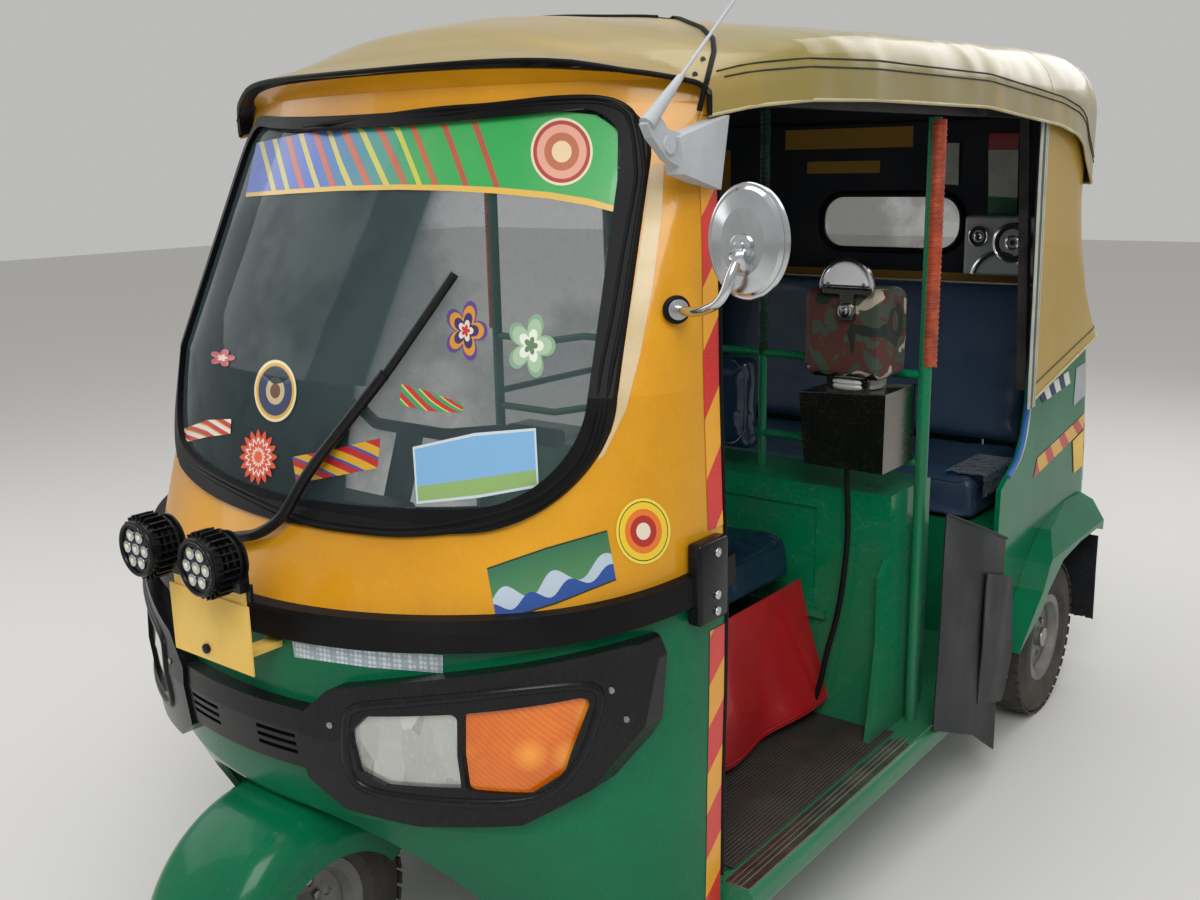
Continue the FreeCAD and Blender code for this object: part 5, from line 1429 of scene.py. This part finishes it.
grommet = discPiece("mirror_grommet", at(*grommetPlace), *grommetForm)
dress(grommet, "rubber")
print("front trims done")


# Fare meter: cloth cover with folds, clear tape at its foot, half-round flag with a white face
def camoPaint(tree, base):
    spot = objectPlace(tree)
    blots = noiseOn(tree, spot, 15.0, 2.0, distortion=1.2)
    other = noiseOn(tree, mapped(tree, spot, location=(3, 5, 1)), 12.0, 2.0, distortion=0.8)
    brown = mixColor(tree, calc(tree, "GREATER_THAN", blots, 0.46), base, tint("4d2c26"))
    pale = mixColor(tree, calc(tree, "GREATER_THAN", other, 0.6), brown, tint("a39a88"))
    return mixColor(tree, calc(tree, "LESS_THAN", other, 0.38), pale, tint("1d2620"))


finishes["camo"] = surface("printed cloth", "37493c", "3b4437", 0.55, cloud=8.0, bump=0.3, bumpScale=300.0,
                           paint=camoPaint)
meterCover = {"low": (382, -22, 1030), "high": (560, 98, 1207), "edge": 0.024, "cuts": 7, "pleat": 1.6,
              "pleatRate": 210, "bulge": 1.5, "ease": 0.6}
coverBox = boxPiece("meter_cover", meterCover["low"], meterCover["high"], meterCover["edge"], 4)
editAll(coverBox)
bpy.ops.mesh.subdivide(number_cuts=meterCover["cuts"])
editDone()
coverMiddle = at(471, 38, 1118)
for corner in coverBox.data.vertices:
    place = corner.co
    tied = max(0.0, min(1.0, (1.16 - place.z) * 12))  # the cloth is gathered low down
    pleat = meterCover["pleat"] * math.sin((place.z - place.x * 0.8) * meterCover["pleatRate"]) * tied
    bulge = meterCover["bulge"] * ripple(place.x, place.y, place.z, 22.0)
    away = (place - coverMiddle) * Vector((1, 1, 0.4))
    corner.co = place + away.normalized() * (pleat + bulge + meterCover["ease"]) / 1000
finishWith(coverBox, "SUBSURF", levels=1, render_levels=1)
dress(coverBox, "camo", angle=60)
finishes["clearTape"] = makeGlass("clear tape", "d9dbd6", 0.45, 0.2)
meterTape = {"middle": (475, 43, 1020), "half": (50, 47), "radius": 0.006, "turns": ((0, 0, 0), (0.001, 0, -0.009))}
tapeX, tapeY, tapeZ = meterTape["middle"]
tapeRing = [at(tapeX + du, tapeY + dv, tapeZ) for du, dv in ringOf(32, *meterTape["half"])]
wraps = [tubeAlong(f"tape_wrap_{index}", [place + Vector(shift) for place in tapeRing], meterTape["radius"],
                   closed=True)
         for index, shift in enumerate(meterTape["turns"])]
dress(joined("meter_tape", wraps), "clearTape")
flag = {"middle": 486, "foot": 1212, "reach": 54, "rimY": -36, "rim": 0.0045, "face": (49, 46, 1218, -35.2),
        "parts": [
    ("flag_knob", (486, -38, 1168), 15, 12, 26, 0.004), ("flag_knob_core", (486, -45, 1168), 7, 6, 20, 0.002),
    ("flag_screw_0", (448, -38, 1219), 4.5, 5, 16, 0.001), ("flag_screw_1", (524, -38, 1219), 4.5, 5, 16, 0.001)]}
halfRound = [at(flag["middle"] + du, flag["rimY"], flag["foot"] + dw)
             for du, dw in ringOf(48, flag["reach"], flag["reach"])[:25]]
flagRim = tubeAlong("flag_rim", halfRound, flag["rim"], closed=True, sides=3)
knob = [discPiece(name, at(*place), forwards, *form) for name, place, *form in flag["parts"]]
dress(joined("flag_trim", [flagRim] + knob), "chrome")
deselectAll()
bpy.ops.mesh.primitive_circle_add(vertices=50, radius=1, fill_type="TRIFAN")
flagFace = named("flag_face")
faceHalf, faceRise, faceFoot, faceY = flag["face"]
for corner in flagFace.data.vertices:
    turn = math.atan2(corner.co.y, corner.co.x)
    reach = corner.co.length
    rise = 1 if corner.co.y > -0.001 else 0
    corner.co = at(flag["middle"] + faceHalf * reach * math.cos(turn), faceY,
                   faceFoot + faceRise * reach * math.sin(turn) * rise)
finishes["flagWhite"] = surface("white enamel", "e4e4e4", "d2d2d4", 0.3, cloud=12.0, coat=0.4)
dress(recalculate(flagFace), "flagWhite")
beadOn("meter_box_edge", [at(383, -31, 996), at(573, -31, 1007), at(573, 111, 1007)], 0.0022, "boxSteel", "steel")

# Posts: wound ribbon on the side posts and the middle posts
def wound(name, x, y, low, high, radius, thick, pitch, finish):
    turns = int((high - low) / pitch)
    points = []
    for index in range(turns * 12 + 1):
        turn = 2 * math.pi * index / 12
        z = low + pitch * index / 12
        points.append(at(x + radius * math.cos(turn), y + radius * math.sin(turn), z))
    coil = tubeAlong(name + "_coil", points, thick / 1000, sides=1)
    middle = at(x, y, (low + high) / 2)
    sleeve = discPiece(name + "_sleeve", middle, (0, 0, 1), radius + thick * 0.35, high - low, 20, 0.001)
    return dress(joined(name, [coil, sleeve]), finish)


finishes["windRed"] = surface("wound ribbon", "bb4c22", "8a3018", 0.5, cloud=40.0, sharp=0.8, dust=(0.1, 0.9, 1.6),
                              bump=0.5, bumpScale=300.0)
finishes["windGreen"] = surface("wound green ribbon", "163d2a", "0f2c1f", 0.55, cloud=40.0, sharp=0.6, bump=0.5,
                                bumpScale=300.0)
posts = [("left_post_ribbon", "right_post_ribbon", 596, (1046, 1528, 13.5, 2.6, 11, "windRed")),
         ("middle_post_ribbon_left", "middle_post_ribbon_right", 210, (1040, 1640, 9.5, 2.0, 10, "windGreen"))]
for leftName, rightName, postX, winding in posts:
    wound(leftName, postX, 120, *winding)
    wound(rightName, -postX, 120, *winding)
print("cabin trims done")

# Loudspeaker: two cones with their rings, and part of a third ring below
# cone profile: share of the radius and depth; cones and rings: x, z, reach and the ring's own radius
speaker = {"profile": [(1, 0), (0.93, -4), (0.82, -3), (0.72, 2), (0.35, 9), (0.3, 5), (0.15, 2)],
           "tip": (0.1, 1), "coneY": 1070, "cones": [(413, 1230, 50), (318, 1245, 25)],
           "rings": [(413, 1230, 49, 0.005), (413, 1230, 17, 0.003), (318, 1245, 25, 0.003), (318, 1245, 9, 0.003)],
           "low": (378, 1077, 1128), "lowReach": 74, "lowRadius": 0.008}


def cone(name, x, z, radius):
    profile = [(radius * share, depth) for share, depth in speaker["profile"]] + [speaker["tip"]]

    def spot(u, v):
        place = v * (len(profile) - 1)
        index = min(int(place), len(profile) - 2)
        reach, depth = [between(a, b, place - index) for a, b in zip(profile[index], profile[index + 1])]
        turn = 2 * math.pi * u
        return at(x + reach * math.cos(turn), speaker["coneY"] + depth, z + reach * math.sin(turn))
    return recalculate(gridSheet(name, 30, 14, spot))


speakerParts = [cone(f"speaker_cone_{index}", *form) for index, form in enumerate(speaker["cones"])]
lowX, lowY, lowZ = speaker["low"]
lowTurns = [math.radians(12 + step * 6.5) for step in range(25)]
lowRing = [at(lowX + speaker["lowReach"] * math.cos(turn), lowY, lowZ + speaker["lowReach"] * math.sin(turn))
           for turn in lowTurns]
dress(joined("speaker_cones", speakerParts), "coneBlack")
speakerRings = [tubeAlong("speaker_low_ring", lowRing, speaker["lowRadius"], sides=3)]
for x, z, reach, radius in speaker["rings"]:
    ring = [at(x + du, speaker["coneY"], z + dw) for du, dw in ringOf(36, reach, reach)]
    speakerRings.append(tubeAlong(f"speaker_ring_{x}_{reach}", ring, radius, closed=True))
dress(joined("speaker_rings", speakerRings), "chrome")

# Tub: blue beading and pale bead on its front edge, checks under the hood's hem, stripe, blank plate
tub = {"blueSide": 604, "paleSide": 607, "blue": 0.0065, "pale": 0.0026, "apart": 12}
tubEdge = [(712, 984), (705, 930), (704, 872), (697, 830), (690, 800), (676, 770), (655, 745), (626, 727),
           (596, 714)]
for side, label in ((1, "left"), (-1, "right")):
    blue = [at(side * tub["blueSide"], y - 2, z) for y, z in tubEdge]
    beadOn(f"tub_beading_{label}", blue, tub["blue"], "blueTrim", "blue_vinyl", sides=3)
    pale = []
    for y, z in tubEdge:
        place, _ = hitOn("rear_tub", at(side * clearSide, y + tub["apart"], z), (-side, 0, 0))
        pale.append(place or at(side * tub["paleSide"], y + tub["apart"], z))
    beadOn(f"tub_pale_bead_{label}", pale, tub["pale"], "whiteTrim", "green_paint")


def checkPaint(tree, base):
    return mixColor(tree, stripesOn(tree, uvOf(tree)["X"], 3.0, 0.5), base, tint("1c2a5c"))


def stripePaint(tree, base):
    uv = uvOf(tree)
    place = calc(tree, "ADD", times(tree, uv["X"], 4.0), times(tree, uv["Y"], 0.45))
    return mixColor(tree, calc(tree, "LESS_THAN", calc(tree, "FRACT", place), 0.42), base, tint("b81f22"))


finishes["checks"] = surface("check tape", "dfe0dc", None, 0.4, paint=checkPaint)
finishes["rearStripe"] = surface("stripe tape", "e0a52c", None, 0.35, coat=0.3, paint=stripePaint)
rearMarks = [
    ("hem_checks", [(1038, 392), (1068, 371)], [(1042, 403), (1070, 383)], "checks"),
    ("side_stripe", [(1037, 458), (1092, 406)], [(1033, 478), (1092, 420)], "rearStripe"),
    ("side_plate", [(1072, 441), (1092, 421)], [(1073, 473), (1092, 457)], "platePaint"),
    ("side_card", [(1076, 368), (1091, 358)], [(1073, 406), (1088, 392)], "greyPlastic")]
for name, top, low, finish in rearMarks:
    mark = pixelSheet(name, "rear_tub", top, low, 8, 3, 0.0012 if name != "side_plate" else 0.002)
    bothSides(mark, finish)
cards = [("hood_card_white", [(944, 143), (960, 143)], [(944, 184), (959, 185)], "whiteTrim"),
         ("hood_card_red", [(990, 133), (1020, 133)], [(989, 150), (1019, 150)], "redVinyl"),
         ("hood_card_face", [(989, 150), (1019, 150)], [(989, 196), (1018, 198)], "whiteTrim"),
         ("hood_card_low", [(989, 196), (1018, 198)], [(988, 215), (1017, 216)], "greenPaint")]
for name, top, low, finish in cards:
    dress(pixelSheet(name, "hood_back", top, low, 4, 4, 0.004), finish)
print("rear trims done")


# Floor mat with fine ribs, and the clear torn sheet over the passenger seat's edge
def matRibs(tree, base):
    spot = objectPlace(tree)
    lines = addNode(tree, "ShaderNodeTexWave", {"Vector": spot, "Scale": 42.0, "Distortion": 0.6, "Detail": 2.0},
                    bands_direction="X").outputs["Fac"]
    return mixColor(tree, spread(tree, lines, 0.2, 0.8, 0.0, 0.75), base, tint("35322e"))


finishes["mat"] = surface("ribbed mat", "121214", "1b1a1a", 0.5, cloud=7.0, dust=(0.3, 0.1, 0.5),
                          dustColor="6a5f52", bump=0.3, bumpScale=200.0, paint=matRibs)


matForm = {"half": 588, "front": -600, "rear": 40, "height": 273.4, "rib": 1.3, "ribs": 294, "wave": 0.8,
           "sheet": 0.0012}


def matSpot(u, v):
    # sawtooth ribs along the vehicle, a little worn and uneven
    x, y = between(-matForm["half"], matForm["half"], u), between(matForm["front"], matForm["rear"], v)
    rise = matForm["rib"] if int(round(u * matForm["ribs"])) % 2 else 0.0
    return at(x, y, matForm["height"] + rise + matForm["wave"] * ripple(x / 200, y / 200, 0, 1.0))


mat = gridSheet("floor_mat", matForm["ribs"], 14, matSpot)
finishWith(mat, "SOLIDIFY", thickness=matForm["sheet"], offset=-1.0)
dress(mat, "mat")


filmForm = {"front": 640, "rear": 860, "low": 640, "top": 694, "side": 528, "inner": 430, "bend": 0.45,
            "wrinkle": (9, 7)}


def filmSpot(u, v):
    # crumpled film over the cushion's left front edge
    y, bend, top = between(filmForm["front"], filmForm["rear"], u), filmForm["bend"], filmForm["top"]
    wide, fine = filmForm["wrinkle"]
    wrinkle = wide * ripple(u * 6, v * 5, 0, 1.0, 3.0) + fine * ripple(u * 15, v * 12, 1, 1.0, 5.0)
    if v > bend:
        return at(between(filmForm["side"] - 3, filmForm["inner"], (v - bend) / (1 - bend)), y,
                  top + abs(wrinkle) * 0.6)
    return at(filmForm["side"] + abs(wrinkle) * 0.8, y + wrinkle * 1.2, between(filmForm["low"], top, v / bend))


finishes["film"] = makeGlass("clear film", "b9c6d0", 0.09, 0.08)
film = gridSheet("seat_film", 44, 30, filmSpot)
dress(film, "film", angle=25)

# Entrance flap: hanging sheet bent at its hem, and a smaller dotted one behind it
def dotPaint(tree, base):
    dots = cellsOn(tree, objectPlace(tree), 210.0, 0.0)
    return mixColor(tree, spread(tree, dots, 0.35, 0.25), base, tint("3a3f45"))


finishes["dotted"] = surface("dotted rubber", "14161a", "1c1f23", 0.5, cloud=6.0, dust=(0.2, 0.05, 0.6), bump=0.3,
                             dustColor="57534d", bumpScale=200.0, paint=dotPaint)


flaps = {
    "entrance_flap": {"top": [(99, 752), (466, 605)], "low": [(87, 276), (300, 182), (433, 92)],
                      "side": 654, "bend": 10, "columns": 26, "rows": 30},
    "entrance_flap_wing": {"top": [(330, 558), (500, 506)], "low": [(316, 252), (470, 204), (514, 300)],
                           "side": 662, "bend": 4, "columns": 16, "rows": 22}}


def flapSheet(name):
    form = flaps[name]
    topEdge, lowEdge, x = form["top"], form["low"], form["side"]

    def spot(u, v):
        top = rowAt(topEdge, between(topEdge[0][0], topEdge[-1][0], u))
        low = rowAt(lowEdge, between(lowEdge[0][0], lowEdge[-1][0], u))
        y, z = between(low[0], top[0], v), between(low[1], top[1], v)
        billow = 5 * ripple(u * 2, v * 2, x / 100, 1.0, 1.5) + form["bend"] * (1 - v) ** 2 * u
        return at(x + billow, y, z)
    return thickened(gridSheet(name, form["columns"], form["rows"], spot), 0.003, 0.0)


flap = flapSheet("entrance_flap")
dress(flap, "flapRubber", angle=50)
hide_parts("entrance_flaps")
flapWing = flapSheet("entrance_flap_wing")
dress(flapWing, "dotted", angle=50)
flapEdge = [at(655.5, y, z) for y, z in ((100, 750), (220, 703), (340, 655), (464, 604))]
beadOn("entrance_flap_hem", flapEdge, 0.003, "flapRubber")

# Rear mud flaps, worn and torn along their lower edge
mudForm = {"inner": 507, "outer": 653, "low": 168, "top": 418, "y": 1209, "tear": (14, 6), "billow": 4, "kick": 8,
           "sheet": 0.004}


def mudFlap(name, side):
    def spot(u, v):
        wide, fine = mudForm["tear"]
        ragged = wide * abs(ripple(u * 9, 0, side, 1.0, 2.0)) + fine * abs(ripple(u * 31, 2, side, 1.0))
        tear = (1 - v) ** 6 * ragged
        billow = mudForm["billow"] * ripple(u * 2, v * 2, side, 1.0, 7.0) + mudForm["kick"] * (1 - v) ** 2
        return at(side * between(mudForm["inner"], mudForm["outer"], u), mudForm["y"] + billow,
                  between(mudForm["low"], mudForm["top"], v) + tear)
    return thickened(gridSheet(name, 24, 26, spot), mudForm["sheet"], 0.0)


mudFlaps = joined("mud_flaps", [mudFlap("mud_flap_left", 1), mudFlap("mud_flap_right", -1)])
dress(mudFlaps, "flapRubber", angle=50)
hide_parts("rear_mud_flaps")

# Tyres: tread blocks in four rows; rims: nuts and a hub cap on each wheel
# tread rows: place across, reach from the axle, width, start in shares of a step
tread = {"count": 42, "long": 0.022, "deep": 0.0042,
         "rows": [(-38, 204.0, 17, 0.5), (-13, 205.2, 20, 0.0), (13, 205.2, 20, 0.5), (38, 204.0, 17, 0.0)]}
hub = {"axle": 207.5, "nuts": 4, "nutReach": 46, "clear": 200, "nut": (9, 9, 6, 0.001), "cap": (26, 8, 30, 0.003)}
wheels = [("front", "front_wheel", 0.0, -1077.5), ("left", "rear_wheel_left", 575.0, 907.5),
          ("right", "rear_wheel_right", -575.0, 907.5)]
for label, body, wheelX, wheelY in wheels:
    blocks = []
    for shift, reach, wide, offset in tread["rows"]:
        for index in range(tread["count"]):
            turn = 2 * math.pi * (index + offset) / tread["count"]
            place = at(wheelX + shift, wheelY - reach * math.sin(turn), hub["axle"] + reach * math.cos(turn))
            deselectAll()
            bpy.ops.mesh.primitive_cube_add(size=1, rotation=(turn, 0, 0), location=place)
            block = named(f"block_{label}_{len(blocks)}")
            block.scale = (wide / 1000, tread["long"], tread["deep"])
            blocks.append(block)
    treadPiece = settle(joined(f"{label}_tread", [settle(block) for block in blocks]))
    dress(treadPiece, "tyreRubber", body)
    outside = -1 if label == "right" else 1
    nuts = []
    outwards = Vector((outside, 0, 0))
    for index in range(hub["nuts"]):
        turn = math.radians(45 + 90 * index)
        start = at(wheelX + outside * hub["clear"], wheelY + hub["nutReach"] * math.cos(turn),
                   hub["axle"] + hub["nutReach"] * math.sin(turn))
        face, _ = hitOn(f"{label}_rim", start, -outwards, 0.0)
        if face:
            nuts.append(discPiece(f"nut_{label}_{index}", face + outwards * 0.004, outwards, *hub["nut"]))
    start = at(wheelX + outside * hub["clear"], wheelY + 20, hub["axle"] + 12)
    face, _ = hitOn(f"{label}_rim", start, -outwards, 0.0)
    if face:
        place = Vector((face.x + outside * 0.003, wheelY / 1000, hub["axle"] / 1000))
        nuts.append(discPiece(f"cap_{label}", place, outwards, *hub["cap"]))
    if nuts:
        dress(joined(f"{label}_nuts", nuts), "wornSteel", body)
print("wheels done")

# Lamp surrounds: a raised bead round the lenses, and screws
bezel = {"radius": 0.0085, "sunk": -0.0025, "pixels": [
    (346, 722), (356, 708), (400, 703), (465, 697), (530, 690), (585, 686), (600, 696), (595, 722), (581, 758),
    (556, 788), (525, 801), (470, 803), (400, 797), (362, 787), (347, 765)]}
corners = [Vector(pixel) for pixel in bezel["pixels"]]
bezelPath = curveThrough([corners[-1]] + corners + corners[:2])
bezelPlaces = [seenOn("lamp_surrounds", *pixel, bezel["sunk"]) for pixel in bezelPath]
bezelBead = tubeAlong("lamp_bezel", bezelPlaces, bezel["radius"], closed=True, sides=4)
finishWith(bezelBead, "SMOOTH", factor=0.5, iterations=4)
bothSides(bezelBead, "blackPlastic", 60)
smallHeads = {"screws": [(626, 719), (611, 690), (330, 725)], "screw": ((0.3, -1, 0), 5.5, 3, 16, 0.001),
              "studs": [(695, 75), (709, 92), (695, 101), (703, 60)], "stud": ((1, -0.5, 0.3), 4.5, 3, 14, 0.001)}
screws = [discPiece(f"surround_screw_{px}", seenOn("lamp_surrounds", px, py, 0.001), *smallHeads["screw"])
          for px, py in smallHeads["screws"]]
bothSides(joined("surround_screws", screws), "wornSteel")

# Sill plates: three pressed ribs on each
sillRibs = {"x": (606, 616, 626), "y": (-640, -420, -200, 20), "z": 276.2, "radius": 0.0016}
for side in (1, -1):
    ribs = []
    for x in sillRibs["x"]:
        line = [at(side * x, y, sillRibs["z"]) for y in sillRibs["y"]]
        ribs.append(tubeAlong(f"sill_rib_{x}_{side}", line, sillRibs["radius"], sides=1))
    dress(joined(f"sill_ribs_{side + 2}", ribs), "wornSteel")

# Studs in the canopy's ears
studs = [discPiece(f"stud_{px}_{py}", coverSeen(px, py, 0.001), *smallHeads["stud"])
         for px, py in smallHeads["studs"]]
bothSides(joined("canopy_studs", studs), "blackPaint")
print("details done")
